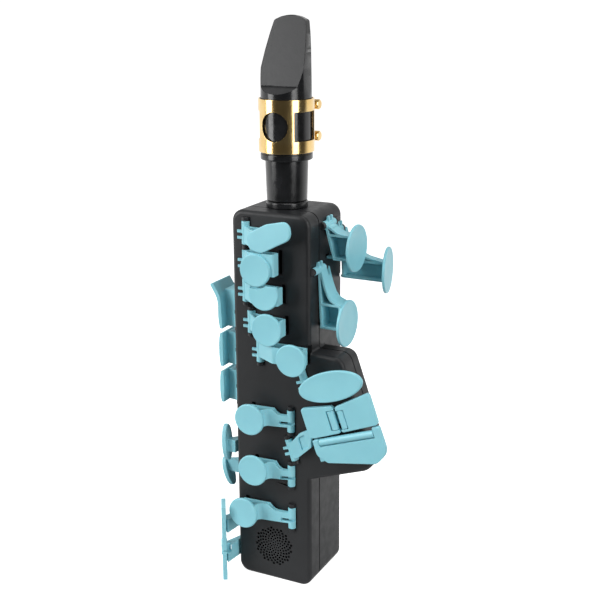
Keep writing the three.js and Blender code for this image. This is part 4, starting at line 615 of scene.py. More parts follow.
def lower_key(node):
    share = LOWER_KEY_SHARES[node]
    reach = share["reach"] * BODY_WIDTH
    far = reach + PEDESTAL_REACH / 2
    offset = share["touch"] * TOUCH_RADIUS
    shift = LOWER_TRAY_CENTRE + offset / 2
    pedestal = reach - PEDESTAL_REACH
    arm = tray_arm(node, far, [
        (far, TOUCH_LEVEL + GAP, HUB_RADIUS / 2), (pedestal, TOUCH_LEVEL + GAP, 0),
        (pedestal - LOWER_FRONT_RISE, HUB_RADIUS + 2 * LOWER_FRONT_RISE, 2 * HUB_RADIUS),
    ], LOWER_TRAY_WIDTH, shift, -1)
    opening = shift - LOWER_TRAY_WIDTH / 2
    notch = plate([
        (-2 * HUB_RADIUS, opening - OVERRUN), (pedestal * LOWER_NOTCH_SHARE, opening - OVERRUN),
        (pedestal / 2, -HALF_FORK, 2 * HUB_RADIUS), (-2 * HUB_RADIUS, -HALF_FORK),
    ], -HUB_RADIUS, 2 * TOUCH_HEIGHT)
    slit = box((FORK_LENGTH + HUB_RADIUS, FORK_SLIT, TOUCH_HEIGHT),
               ((FORK_LENGTH - HUB_RADIUS) / 2, PRONG_DROP, TOUCH_HEIGHT / 2))
    arm = cut(arm, notch, *lug_room(HUB_LENGTH))
    axle = seated_axle(node, HUB_LENGTH, foot=(far, shift, LOWER_TRAY_WIDTH))
    return cut(joined(arm, axle, dished_disc(at(reach, offset, TOUCH_LEVEL))), slit)


# Little-finger table: corners are shares of its length along and of its drop
TABLE_LENGTH = 38.0
TABLE_DROP = 50.0
TABLE_TOP = 7.8
TABLE_THICKNESS = 2.8
TABLE_UNDER = TABLE_TOP - TABLE_THICKNESS
TABLE_RIM = 0.5
RIM_FOOT = TABLE_TOP - TABLE_RIM
TABLE_HUB_LENGTH = 9.0
ROLLER_RADIUS = 1.9
ROLLER_PROUD = 0.5
ROLLER_LEVEL = TABLE_TOP + ROLLER_PROUD - ROLLER_RADIUS
ROLLER_PIN_RADIUS = 0.6
ROLLER_PIN_LENGTH = 0.8
POST_SIDE = 3.0
TABLE_AXLES = {
    "g_sharp_key": (0, 0.06), "c_sharp_key": (-0.534, 0.744), "low_b_key": (0, 0.47),
    "low_b_flat_key": (0, 0.79),
}
# Each roller's spot, axis and length, and the way its notch opens
TABLE_ROLLERS = {
    "c_sharp_key": ((0.342, 0.471), "y", 0.2 * TABLE_DROP, 1),
    "low_b_key": ((0.488, 0.48), "y", 0.19 * TABLE_DROP, -1),
    "low_b_flat_key": ((0.455, 0.679), "x", 0.83 * TABLE_LENGTH, 1),
}


def on_table(node, shares):
    """Corners on the table as places in one key's own frame."""
    along, drop = TABLE_AXLES[node]
    return [((x - along) * TABLE_LENGTH, (drop - y) * TABLE_DROP, *[r * TABLE_DROP for r in radius])
            for x, y, *radius in shares]


def table_touch(node, corners):
    return plate(on_table(node, corners), TABLE_UNDER, TABLE_THICKNESS, TABLE_RIM)


def post(x, y, start, end):
    return box((ARM_WALL, POST_SIDE, end - start), (x - ARM_WALL / 2, y, (start + end) / 2))


def roller_notch(node):
    """Room for a key's roller, open towards one side, and the bore of its pin."""
    spot, axis, length, open_way = TABLE_ROLLERS[node]
    x, y = on_table(node, [spot])[0]
    depth = 2 * (ROLLER_RADIUS + GAP)
    run = length + 2 * GAP
    size = (2 * depth, run, 2 * depth)
    middle = (x + open_way * depth / 2, y, ROLLER_LEVEL + depth / 2)
    if axis == "x":
        size = (run, 2 * depth, 2 * depth)
        middle = (x, y + open_way * depth / 2, ROLLER_LEVEL + depth / 2)
    pin = length + 2 * ROLLER_PIN_LENGTH + 2 * GAP
    return [box(size, middle), rod(ROLLER_PIN_RADIUS + GAP, pin, axis, (x, y, ROLLER_LEVEL), 16)]


def oval_touch(half_length, half_width, place, thickness=TOUCH_THICKNESS):
    stretch = Matrix.Diagonal((half_length / TOUCH_RADIUS, half_width / TOUCH_RADIUS,
                               thickness / TOUCH_THICKNESS, 1))
    return dished_disc(place @ stretch)


G_SHARP_HALF_LENGTH = 0.484
G_SHARP_HALF_WIDTH = 0.158
G_SHARP_DROP = 0.118
G_SHARP_HEIGHT = 9.4


def g_sharp_key(node):
    along, drop = TABLE_AXLES[node]
    reach = (G_SHARP_HALF_LENGTH - along) * TABLE_LENGTH
    offset = (drop - G_SHARP_DROP) * TABLE_DROP
    level = G_SHARP_HEIGHT - AXLE_LIFT - TOUCH_THICKNESS
    far = reach + ARM_WALL
    arm = tray_arm(node, far, [(far, level + GAP, HUB_RADIUS), (reach / 2, level + GAP, HUB_RADIUS)],
                   ARM_WIDTH, offset, -1)
    oval = oval_touch(G_SHARP_HALF_LENGTH * TABLE_LENGTH, G_SHARP_HALF_WIDTH * TABLE_DROP,
                      at(reach, offset, level))
    arm = cut(arm, *lug_room(HUB_LENGTH))
    axle = seated_axle(node, HUB_LENGTH, foot=(far, offset, POST_SIDE))
    return cut(joined(arm, axle, *forked_tail(), oval, post(far, offset, SEAT, level)), tail_slit())


C_SHARP_PLATE = [
    (-0.082, 0.616, 0.02), (0.0, 0.625, 0.02), (0.4, 0.615, 0.02), (0.4, 0.322, 0.03), (-0.082, 0.288, 0.03),
]
C_SHARP_ARM = [
    (-0.534, 0.83), (-0.44, 0.83, 0.02), (-0.12, 0.72, 0.02), (-0.07, 0.628), (0.1, 0.56), (-0.082, 0.53),
    (-0.26, 0.56, 0.02), (-0.44, 0.64, 0.02), (-0.534, 0.66),
]
C_SHARP_WINDOW = [
    (-0.31, 0.745, 0.01), (-0.17, 0.715, 0.01), (-0.17, 0.575, 0.01), (-0.31, 0.605, 0.01),
]
C_SHARP_FOOT = (0.12, 0.59)


def c_sharp_key(node):
    foot_x, foot_y = on_table(node, [C_SHARP_FOOT])[0]
    join = on_table(node, C_SHARP_PLATE)[0][0]
    slope = rib([(0, SEAT), (join, TABLE_UNDER), (2 * join, TABLE_UNDER), (2 * join, RIM_FOOT),
                 (join, RIM_FOOT), (0, HUB_SHOULDER)], 2 * TABLE_DROP, 0)
    arm = kept(slope, plate(on_table(node, C_SHARP_ARM), -TOUCH_HEIGHT, 2 * TOUCH_HEIGHT))
    window = plate(on_table(node, C_SHARP_WINDOW), SEAT, TOUCH_HEIGHT)
    floor = rib([(0, SEAT), (join, TABLE_UNDER), (join, TABLE_UNDER + ARM_WALL), (0, SEAT + ARM_WALL)],
                2 * TABLE_DROP, 0)
    floor = kept(floor, window.copy())
    axle = seated_axle(node, HUB_LENGTH, foot=(foot_x, foot_y, POST_SIDE))
    body = joined(cut(arm, window), floor, axle, *forked_tail(0), table_touch(node, C_SHARP_PLATE),
                  post(foot_x, foot_y, SEAT, RIM_FOOT))
    return cut(body, *roller_notch(node), tail_slit(0))


B_PLATE = [(0.43, 0.613, 0.02), (0.98, 0.594, 0.03), (0.98, 0.256, 0.03), (0.43, 0.338, 0.03)]
LOW_ARM_TOP = 2.4
LOW_ARM_WIDTH = 7.0


def low_b_key(node):
    start = on_table(node, B_PLATE)[0][0]
    far = start + 2 * ARM_WALL
    seat, edge = underside(node, far)
    arm = rib([seat, edge, (far, RIM_FOOT), (start + ARM_WALL, RIM_FOOT), (start + ARM_WALL, LOW_ARM_TOP),
               (0, LOW_ARM_TOP)], LOW_ARM_WIDTH, 0)
    foot_reach = far + ROLLER_RADIUS * 2
    foot = post(foot_reach, LOW_ARM_WIDTH / 2, SEAT, RIM_FOOT)
    beam = box((foot_reach - start, LOW_ARM_WIDTH, 2 * ARM_WALL),
               ((foot_reach + start) / 2, 0, edge[1] + 2 * ARM_WALL))
    axle = seated_axle(node, TABLE_HUB_LENGTH, foot=(foot_reach, LOW_ARM_WIDTH / 2, POST_SIDE))
    return cut(joined(arm, axle, table_touch(node, B_PLATE), foot, beam), *roller_notch(node))


B_FLAT_PLATE = [
    (-0.055, 0.81, 0.08), (0.08, 0.905, 0.04), (0.787, 0.993, 0.1), (0.986, 0.897, 0.13), (0.98, 0.609, 0.02),
    (-0.055, 0.642, 0.02),
]
B_FLAT_POST_SHARE = 0.6


def low_b_flat_key(node):
    reach = on_table(node, B_FLAT_PLATE)[2][0] * B_FLAT_POST_SHARE
    web = box((2 * PIVOT_RADIUS, TABLE_HUB_LENGTH, RIM_FOOT), (0, 0, RIM_FOOT / 2))
    axle = seated_axle(node, TABLE_HUB_LENGTH, foot=(reach, 0, POST_SIDE))
    return cut(joined(web, axle, table_touch(node, B_FLAT_PLATE), post(reach, 0, SEAT, RIM_FOOT)),
               *roller_notch(node))


# Palm keys: measures are shares of the touch's radius, apart from neck and turn
PALM_RADIUS = 12.2
PALM_THICKNESS = 1.5
PALM_DISH = 0.5
PALM_RIM = 0.55
PALM_BEND_ALONG = 0.86
PALM_BEND_UP = 0.55
PALM_NECK_UP = 1.9
PALM_KEY_SHARES = {
    "palm_d_key": {"hub": 0.98, "reach": 0.99, "standoff": 1.27, "shift": 0.24, "top": 0.36, "bottom": 1.45,
                   "lean": 0.28, "arm": -0.06, "width": 0.66, "neck": 0.3, "turn": 0, "tail": 0},
    "palm_e_flat_key": {"hub": 0.74, "reach": 1.66, "standoff": 2.2, "shift": 0.56, "top": 1.3,
                        "bottom": 2.16, "lean": 0, "arm": 0.53, "width": 0.43, "neck": 0.4, "turn": -0.2,
                        "tail": -0.12},
    "palm_f_key": {"hub": 0.98, "reach": 2.34, "standoff": 1.16, "shift": 0.56, "top": 1.42, "bottom": 2.52,
                   "lean": 0, "arm": 0.36, "width": 0.84, "neck": 0.45, "turn": 0, "tail": 0},
}


def palm_key(node):
    share = {name: value * PALM_RADIUS for name, value in PALM_KEY_SHARES[node].items()}
    turn = PALM_KEY_SHARES[node]["turn"]
    neck = PALM_KEY_SHARES[node]["neck"]
    level = share["standoff"] - AXLE_LIFT - PALM_THICKNESS
    bottom, top, width, centre = share["bottom"], share["top"], share["width"], share["arm"]
    bottom_seat = underside(node, bottom, share["lean"])[1][1]
    shelf_seat = SEAT + (bottom_seat - SEAT) * top / bottom
    arm = tray_arm(node, bottom, [
        (bottom, level + GAP), (top, level + GAP),
        (top * PALM_BEND_ALONG, level * PALM_BEND_UP, 3 * HUB_RADIUS),
        (top * neck, HUB_RADIUS * PALM_NECK_UP, 2 * HUB_RADIUS),
    ], width, centre, -1, share["lean"])
    shelf = rib([(top, shelf_seat), (top + ARM_WALL, shelf_seat + ARM_WALL / 2), (top + ARM_WALL, level),
                 (top, level)], width, centre)
    peg = post(bottom, centre, SEAT, bottom_seat + ARM_WALL / 2)
    place = at(share["reach"], share["shift"], level) @ Matrix.Rotation(turn, 4, "X")
    touch = dished_disc(place, PALM_RADIUS, PALM_THICKNESS, PALM_DISH, PALM_RIM)
    body = cut(joined(arm, shelf), *lug_room(share["hub"]))
    axle = seated_axle(node, share["hub"], foot=(bottom, centre, POST_SIDE))
    return joined(body, axle, *forked_tail(share["tail"]), peg, touch)


# Side keys of the left side: length and lip are shares of the case's height
SIDE_HUB_LENGTH = 7.0
SIDE_STANDOFF = 12.0
SIDE_TOUCH_DEPTH = 18.0
SIDE_TOUCH_LEAD = 1.2
SIDE_TOUCH_THICKNESS = 1.6
SIDE_WEB_REACH = 4.6
SIDE_BOW_RADIUS = 20
# In lengths of the lip: where its bend starts, where it ends, and the radius of the bend
LIP_TOP = (1.4, -0.8, 3.5)
LIP_UNDER = (0.9, -1.15, 3)
LIP_FLARE = 1.3
SIDE_KEY_SHARES = {"side_e_key": (0.102, 0.017), "side_c_key": (0.091, 0), "side_b_flat_key": (0.087, 0)}


def side_touch(half, lip, level):
    top = level + SIDE_TOUCH_THICKNESS
    bow = SIDE_TOUCH_THICKNESS / 2
    lower = [(half, level - bow), (half, top - bow, bow), (half / 2, top, SIDE_BOW_RADIUS)]
    upper = [(-half / 2, top, SIDE_BOW_RADIUS), (-half, top - bow, bow), (-half, level - bow)]
    if lip > 0:
        start, end, bend = [share * lip for share in LIP_TOP]
        under_start, under_end, under_bend = [share * lip for share in LIP_UNDER]
        flare = lip * LIP_FLARE
        upper = [(start - half, top, bend), (end - half, top + flare, bow),
                 (under_end - half, level + flare, bow), (under_start - half, level, under_bend)]
    return prism(rounded([*lower, *upper], 8), SIDE_TOUCH_DEPTH, at(-SIDE_TOUCH_LEAD, 0, 0) @ END_ON)


def side_key(node):
    length, lip = (share * BODY_HEIGHT for share in SIDE_KEY_SHARES[node])
    half = length / 2
    far = SIDE_TOUCH_DEPTH - SIDE_TOUCH_LEAD - ARM_WALL
    level = SIDE_STANDOFF - AXLE_LIFT - SIDE_TOUCH_THICKNESS
    hub_shift = half - SIDE_HUB_LENGTH / 2 - LUG_LENGTH - 2 * GAP
    tray = tray_arm(node, far, [
        (far, level + GAP), (SIDE_WEB_REACH, level + GAP), (SIDE_WEB_REACH - ARM_WALL, HUB_RADIUS + ARM_WALL),
    ], length - 2 * GAP, 0, 1)
    room = level - 2 * ARM_WALL - far * math.tan(press_of(node))
    opening = box((3 * ARM_WALL, length - 2 * GAP - 2 * ARM_WALL, room), (far, 0, level - room / 2 - GAP))
    tray = cut(tray, opening, *lug_room(SIDE_HUB_LENGTH, hub_shift))
    return joined(tray, seated_axle(node, SIDE_HUB_LENGTH, hub_shift), side_touch(half, lip, level))


# Ovals of the left side: reach and standoff are shares of the case's depth, half of its height
SIDE_OVAL_SHARES = {
    "high_f_sharp_key": {"reach": 0.317, "half": 0.0515, "standoff": 0.235, "lean": 0.03, "shift": 1.6},
    "trill_key": {"reach": 0.301, "half": 0.041, "standoff": 0.335, "lean": 0.3, "shift": -3.6},
}
SIDE_OVAL_HALF_WIDTH = 3.8
SIDE_OVAL_THICKNESS = 2.6
SIDE_OVAL_ARM_WIDTH = 7.0


def side_oval_key(node):
    share = SIDE_OVAL_SHARES[node]
    reach = share["reach"] * BODY_DEPTH
    level = share["standoff"] * BODY_DEPTH - AXLE_LIFT - SIDE_OVAL_THICKNESS
    far = reach + ARM_WALL
    middle = level + SIDE_OVAL_THICKNESS / 2
    arm = tray_arm(node, far, [
        (far, middle), (reach - ARM_WALL, middle), (reach / 2, HUB_RADIUS + ARM_WALL, HUB_RADIUS),
    ], SIDE_OVAL_ARM_WIDTH, 0, -1)
    place = at(reach, share["shift"], level) @ Matrix.Rotation(share["lean"], 4, "X")
    oval = oval_touch(SIDE_OVAL_HALF_WIDTH, share["half"] * BODY_HEIGHT, place, SIDE_OVAL_THICKNESS)
    return joined(arm, seated_axle(node, TABLE_HUB_LENGTH), oval)


# Paddles of the left side: measures are shares of the case's height
PADDLE_SHARES = {
    "low_e_flat_key": {"height": 0.152, "length": 0.125, "arm": 0.146, "arm_length": 0.037, "roller_end": -1},
    "low_c_key": {"height": 0.0443, "length": 0.0832, "arm": 0.0635, "arm_length": 0.046, "roller_end": 1},
}
PADDLE_NEAR = Vector((12, 7.65))
PADDLE_FAR = Vector((21.95, 1.65))
PADDLE_SLOPE = PADDLE_FAR - PADDLE_NEAR
PADDLE_OUTWARD = Vector((-PADDLE_SLOPE.y, PADDLE_SLOPE.x)).normalized()
PADDLE_THICKNESS = 2.4
PADDLE_ROLLER_RADIUS = 1.6
PADDLE_ROLLER_SHARE = 0.62
PADDLE_ROLLER_LENGTH = PADDLE_SLOPE.length * PADDLE_ROLLER_SHARE
PADDLE_SLIT_REACH = 0.62


def paddle_key(node):
    share = PADDLE_SHARES[node]
    end_way = share["roller_end"]
    length = share["length"] * BODY_HEIGHT
    centre = (share["height"] - share["arm"]) * BODY_HEIGHT
    near, far = PADDLE_NEAR, PADDLE_FAR
    under = PADDLE_OUTWARD * PADDLE_THICKNESS
    paddle = rib([tuple(near - under), tuple(far - under), (*far, PADDLE_THICKNESS / 3),
                  (*near, PADDLE_THICKNESS / 3)], length, centre)
    arm_length = share["arm_length"] * BODY_HEIGHT
    arm = rib([*underside(node, near.x - ARM_WALL), (near.x + PADDLE_SLOPE.length / 3, far.y),
               (near.x, near.y - ARM_WALL), (0, HUB_SHOULDER)], arm_length, 0)
    slit = box((near.x * PADDLE_SLIT_REACH, arm_length - 2 * ARM_WALL, TOUCH_HEIGHT),
               (near.x * PADDLE_SLIT_REACH, 0, TOUCH_HEIGHT / 2 + ARM_WALL + SEAT))
    middle = (near + far) / 2 + PADDLE_OUTWARD * (ROLLER_PROUD - PADDLE_ROLLER_RADIUS)
    edge = centre + end_way * length / 2 - end_way * (PADDLE_ROLLER_RADIUS + GAP)
    tilt = Matrix.Rotation(-math.atan2(PADDLE_SLOPE.y, PADDLE_SLOPE.x), 4, "Y")
    place = at(middle.x, edge, middle.y) @ tilt
    room = 2 * PADDLE_ROLLER_RADIUS + 2 * GAP
    notch = box((PADDLE_ROLLER_LENGTH + 2 * GAP, 2 * room, 2 * room), (0, end_way * room / 2, 0), place)
    pin = PADDLE_ROLLER_LENGTH + 2 * ROLLER_PIN_LENGTH + 2 * GAP
    bore = rod(ROLLER_PIN_RADIUS + GAP, pin, "x", (0, 0, 0), 16, 0, place)
    return cut(joined(cut(arm, slit), seated_axle(node, TABLE_HUB_LENGTH), paddle), notch, bore)


OCTAVE_REACH = 14.0
OCTAVE_HEIGHT = 7.0
OCTAVE_HALF_LENGTH = 10.0
OCTAVE_HALF_WIDTH = 6.5


def octave_key(node):
    level = OCTAVE_HEIGHT - AXLE_LIFT - TOUCH_THICKNESS
    far = OCTAVE_REACH + ARM_WALL
    arm = tray_arm(node, far, [(far, level + GAP), (OCTAVE_REACH / 3, level + GAP, HUB_RADIUS)],
                   ARM_WIDTH, 0, 1)
    touch = oval_touch(OCTAVE_HALF_LENGTH, OCTAVE_HALF_WIDTH, at(OCTAVE_REACH, 0, level))
    return joined(arm, seated_axle(node, HUB_LENGTH), touch)


KEY_EDGE = 0.14
KEY_MAKERS = [
    (upper_key, UPPER_KEY_SHARES), (lower_key, LOWER_KEY_SHARES), (g_sharp_key, ["g_sharp_key"]),
    (c_sharp_key, ["c_sharp_key"]), (low_b_key, ["low_b_key"]), (low_b_flat_key, ["low_b_flat_key"]),
    (palm_key, PALM_KEY_SHARES), (side_key, SIDE_KEY_SHARES), (side_oval_key, SIDE_OVAL_SHARES),
    (paddle_key, PADDLE_SHARES), (octave_key, ["octave_key"]),
]
for maker, nodes in KEY_MAKERS:
    for node in nodes:
        shape = maker(node)
        soften_edges(shape, KEY_EDGE)
        set_down(node + "_lever", shape, node, TO_METRES @ joint_frame(node))


# Rollers: a barrel with turned-down ends on its pin
def roller(radius, length):
    return joined(rod(radius, length, "z", (0, 0, 0), 40, 0.25),
                  rod(ROLLER_PIN_RADIUS, length + 2 * ROLLER_PIN_LENGTH, "z", (0, 0, 0), 16))


def roller_frame(node):
    """The frame of a roller, its third axis along its pin."""
    joint = KEY_JOINTS[node]
    way = Vector(joint["axis"]).to_track_quat("Z", "Y").to_matrix().to_4x4()
    return Matrix.Translation(Vector(joint["pos_m"]) / MILLIMETRE) @ way


ROLLER_SIZES = {key: (ROLLER_RADIUS, row[2]) for key, row in TABLE_ROLLERS.items()}
for key in PADDLE_SHARES:
    ROLLER_SIZES[key] = (PADDLE_ROLLER_RADIUS, PADDLE_ROLLER_LENGTH)
for key, (radius, length) in ROLLER_SIZES.items():
    node = key.replace("_key", "_roller")
    set_down(node + "_barrel", roller(radius, length), node, TO_METRES @ roller_frame(node))


# Front and rear shell
WALL = 3.8
FRONT_WALL = 5.2
SKIN = 2.0
SIDE = BODY_WIDTH / 2
FRONT = -BODY_DEPTH / 2
REAR = BODY_DEPTH / 2
PARTING = FRONT + 11.1
SEAM_WIDTH = 0.8
SEAM_DEPTH = 0.7
EDGE_FILLET = 2.2
BODY_CORNER = 6.0
WING_DEPTH = 19.4
WING_TOP = Vector((SIDE + 17.4, 134.0))
WING_TIP = Vector((SIDE + 37.4, 77.1))
WING_ROOT = 63.7
BODY_CORNERS = [(-SIDE, 0, BODY_CORNER), (SIDE, 0, BODY_CORNER), (SIDE, BODY_HEIGHT, BODY_CORNER),
                (-SIDE, BODY_HEIGHT, BODY_CORNER)]
WING_CORNERS = [(-SIDE, 0, BODY_CORNER), (SIDE, 0, BODY_CORNER), (SIDE, WING_ROOT, 1.2), (*WING_TIP, 8.0),
                (*WING_TOP, 6.0), (SIDE, WING_TOP.y, 1.2), (SIDE, BODY_HEIGHT, BODY_CORNER),
                (-SIDE, BODY_HEIGHT, BODY_CORNER)]
SPEAKER_RADIUS = 13.0
GRILLE_HEIGHT = 20.0
GRILLE_RADIUS = 11.0
GRILLE_HOLES = 136
GRILLE_SPREAD = 0.58
HOLE_LEAST = 0.34
HOLE_GAIN = 0.42
BOARD_FRONT = FRONT + 8.2
BOARD_REAR = BOARD_FRONT + 1.6
POST_RADIUS = 3.2
SCREW_ACROSS = 14.3
SCREW_PLACES = [(way * SCREW_ACROSS, height) for height in (7.6, 88.0, 195.5) for way in (-1, 1)]
SCREW_HEAD_RADIUS = 2.4
SCREW_RECESS = 3.0
SCREW_SHANK_RADIUS = 1.1
NECK_HOLE_RADIUS = 6.6
SOCKET_ACROSS = 5.6
SOCKET_BACK = 7.5
USB_SIZE = (9.0, 3.3)
PHONE_RADIUS = 3.0
BUTTON_RADIUS = 2.6
BUTTON_NODES = ("volume_down_button", "volume_up_button", "power_button")
CELL_RADIUS = 9.0
CELL_BOTTOM = 94.5
CELL_LENGTH = 66.0
SHELF_THICKNESS = 1.2
GRID_PITCH = 11.7


def slab(corners, start, depth, fillet=0.0, steps=9):
    """An outline in the X-Z plane swept towards +Y, its end edges rounded by a fillet."""
    rings = [(0.0, 0.0), (depth, 0.0)]
    if fillet:
        turns = [math.pi / 2 * step / 5 for step in range(6)]
        rings = [(fillet * (1 - math.sin(turn)), fillet * (1 - math.cos(turn))) for turn in reversed(turns)]
        rings += [(depth - along, inset) for along, inset in reversed(rings)]
    shape = bmesh.new()
    loops = []
    for along, inset in rings:
        points = rounded(inset_corners(corners, inset) if inset else corners, steps)
        verts = [shape.verts.new((point[0], start + along, point[1])) for point in points]
        loops.append([shape.edges.new(pair) for pair in zip(verts, verts[1:] + verts[:1])])
    for first, second in zip(loops, loops[1:]):
        bmesh.ops.bridge_loops(shape, edges=first + second)
    bmesh.ops.edgenet_fill(shape, edges=loops[0])
    bmesh.ops.edgenet_fill(shape, edges=loops[-1])
    bmesh.ops.recalc_face_normals(shape, faces=shape.faces)
    return shape


def gridded(shape):
    """The faces cut along a grid, so that none has many holes later."""
    low = [min(vert.co[axis] for vert in shape.verts) for axis in range(3)]
    high = [max(vert.co[axis] for vert in shape.verts) for axis in range(3)]
    for axis in (0, 2):
        across = Vector((axis == 0, 0, axis == 2))
        for step in range(1, int((high[axis] - low[axis]) / GRID_PITCH) + 1):
            bmesh.ops.bisect_plane(shape, geom=[*shape.verts, *shape.edges, *shape.faces],
                                   plane_co=across * (low[axis] + step * GRID_PITCH), plane_no=across)
    return shape


def gathered(shapes):
    """Several solids that don't touch, in one mesh."""
    whole = bmesh.new()
    for shape in shapes:
        mesh = mesh_of("gathered", shape)
        whole.from_mesh(mesh)
        bpy.data.meshes.remove(mesh)
    return whole


def grille_holes():
    """Round holes in a spiral, small in the middle and wider towards the rim."""
    holes = []
    for index in range(GRILLE_HOLES):
        share = ((index + 0.5) / GRILLE_HOLES) ** GRILLE_SPREAD
        angle = index * math.pi * (3 - math.sqrt(5))
        place = (share * GRILLE_RADIUS * math.cos(angle), FRONT + SKIN / 2,
                 GRILLE_HEIGHT + share * GRILLE_RADIUS * math.sin(angle))
        holes.append(rod(HOLE_LEAST + HOLE_GAIN * share, SKIN + 2 * OVERRUN, "y", place, 12))
    return gathered(holes)


def at_screws(radius, start, end, steps=32):
    """The same rod, from start to end along Y, at every case screw."""
    return [rod(radius, end - start, "y", (across, (start + end) / 2, height), steps)
            for across, height in SCREW_PLACES]


def screw_cuts():
    recess = REAR - SCREW_RECESS
    return [*at_screws(SCREW_HEAD_RADIUS + GAP, recess, REAR + OVERRUN),
            *at_screws(SCREW_SHANK_RADIUS + GAP, FRONT + FRONT_WALL - GAP, recess + OVERRUN, 24)]


def housing():
    """The whole case before it is split: outside, lugs, hollow, and every cut through its walls."""
    outside = joined(gridded(slab(BODY_CORNERS, FRONT, BODY_DEPTH, EDGE_FILLET)),
                     gridded(slab(WING_CORNERS, FRONT, WING_DEPTH, EDGE_FILLET)), *HOUSING_LUGS)
    groove = cut(slab(inset_corners(WING_CORNERS, -2 * OVERRUN), PARTING - SEAM_WIDTH / 2, SEAM_WIDTH),
                 slab(inset_corners(WING_CORNERS, SEAM_DEPTH), PARTING - SEAM_WIDTH, 2 * SEAM_WIDTH))
    start = FRONT + FRONT_WALL
    hollow = joined(*[gridded(slab(inset_corners(corners, WALL), start, end - WALL - start))
                      for corners, end in ((BODY_CORNERS, REAR), (WING_CORNERS, FRONT + WING_DEPTH))])
    pocket = rod(SPEAKER_RADIUS + GAP, FRONT_WALL, "y", (0, FRONT + SKIN + FRONT_WALL / 2, GRILLE_HEIGHT), 64)
    neck_hole = rod(NECK_HOLE_RADIUS, 2 * WALL + 2 * OVERRUN, "z", (0, 0, BODY_HEIGHT), 56)
    usb = box((USB_SIZE[0] + 2 * GAP, USB_SIZE[1] + 2 * GAP, WALL + 2 * OVERRUN),
              (-SOCKET_ACROSS, SOCKET_BACK, WALL / 2))
    phone = rod(PHONE_RADIUS + GAP, WALL + 2 * OVERRUN, "z", (SOCKET_ACROSS, SOCKET_BACK, WALL / 2), 40)
    buttons = [rod(BUTTON_RADIUS + GAP, WALL + 2 * OVERRUN, "y",
                   (0, REAR - WALL / 2, button_height(node)), 40) for node in BUTTON_NODES]
    return cut(outside, hollow, groove, *HOUSING_CUTS, pocket, grille_holes(), neck_hole, usb, phone,
               *buttons)


def button_height(node):
    button = frame["nodes"][node]
    points = [button.matrix_world @ Vector(corner) for corner in button.bound_box]
    return sum(point.z for point in points) / len(points) / MILLIMETRE


def add_shells():
    whole = housing()
    reach = 250.0
    front_half = gridded(box((reach, reach, reach), (0, PARTING - (GAP + reach) / 2, BODY_HEIGHT / 2)))
    rear_half = gridded(box((reach, reach, reach), (0, PARTING + (GAP + reach) / 2, BODY_HEIGHT / 2)))
    front_posts = at_screws(POST_RADIUS, FRONT + FRONT_WALL - 1, BOARD_FRONT - GAP)
    rear_posts = at_screws(POST_RADIUS, BOARD_REAR + GAP, REAR - WALL + 1)
    front = joined(kept(whole.copy(), front_half), *front_posts)
    shelf_size = (4 * CELL_RADIUS, CELL_RADIUS + 1, SHELF_THICKNESS)
    shelf_middle = REAR - WALL - CELL_RADIUS / 2 + 0.5
    room = GAP + SHELF_THICKNESS / 2
    shelves = [box(shelf_size, (0, shelf_middle, height))
               for height in (CELL_BOTTOM - room, CELL_BOTTOM + CELL_LENGTH + room)]
    rear = joined(kept(whole, rear_half), *shelves, *rear_posts)
    for node, shell in (("front_shell", front), ("rear_shell", rear)):
        set_down(node + "_moulding", cut(shell, *screw_cuts()), node)


add_shells()


# Mouthpiece, reed and ligature
NECK_TOP = BODY_HEIGHT + GAP + 3.0
SHANK_BOTTOM = NECK_TOP + GAP
MOUTHPIECE_LENGTH = 91.4
BEAK_TOP = SHANK_BOTTOM + MOUTHPIECE_LENGTH
MOUTHPIECE_BORE = 8.1
BARREL_LOW = 12.9
BARREL_HIGH = 12.3
BEAK_SHOULDER = 264.0
BEAK_LEAD = 2.0
SLOPE_FOOT = (-7.9, 265.8)
SLOPE_TOP = (5.8, BEAK_TOP)
SLOPE_REAR = 6.5
SLOPE_LIKENESS = 0.995
TABLE_DEPTH = 9.6
WINDOW_BOTTOM = 268.0
BORE_TOP = 258.0


def across_sweep(corners, width, steps=10):
    """A side profile of (y, z) corners, as wide as given along X."""
    return prism(rounded(corners, steps), width, at(-width / 2, 0, 0) @ END_ON)


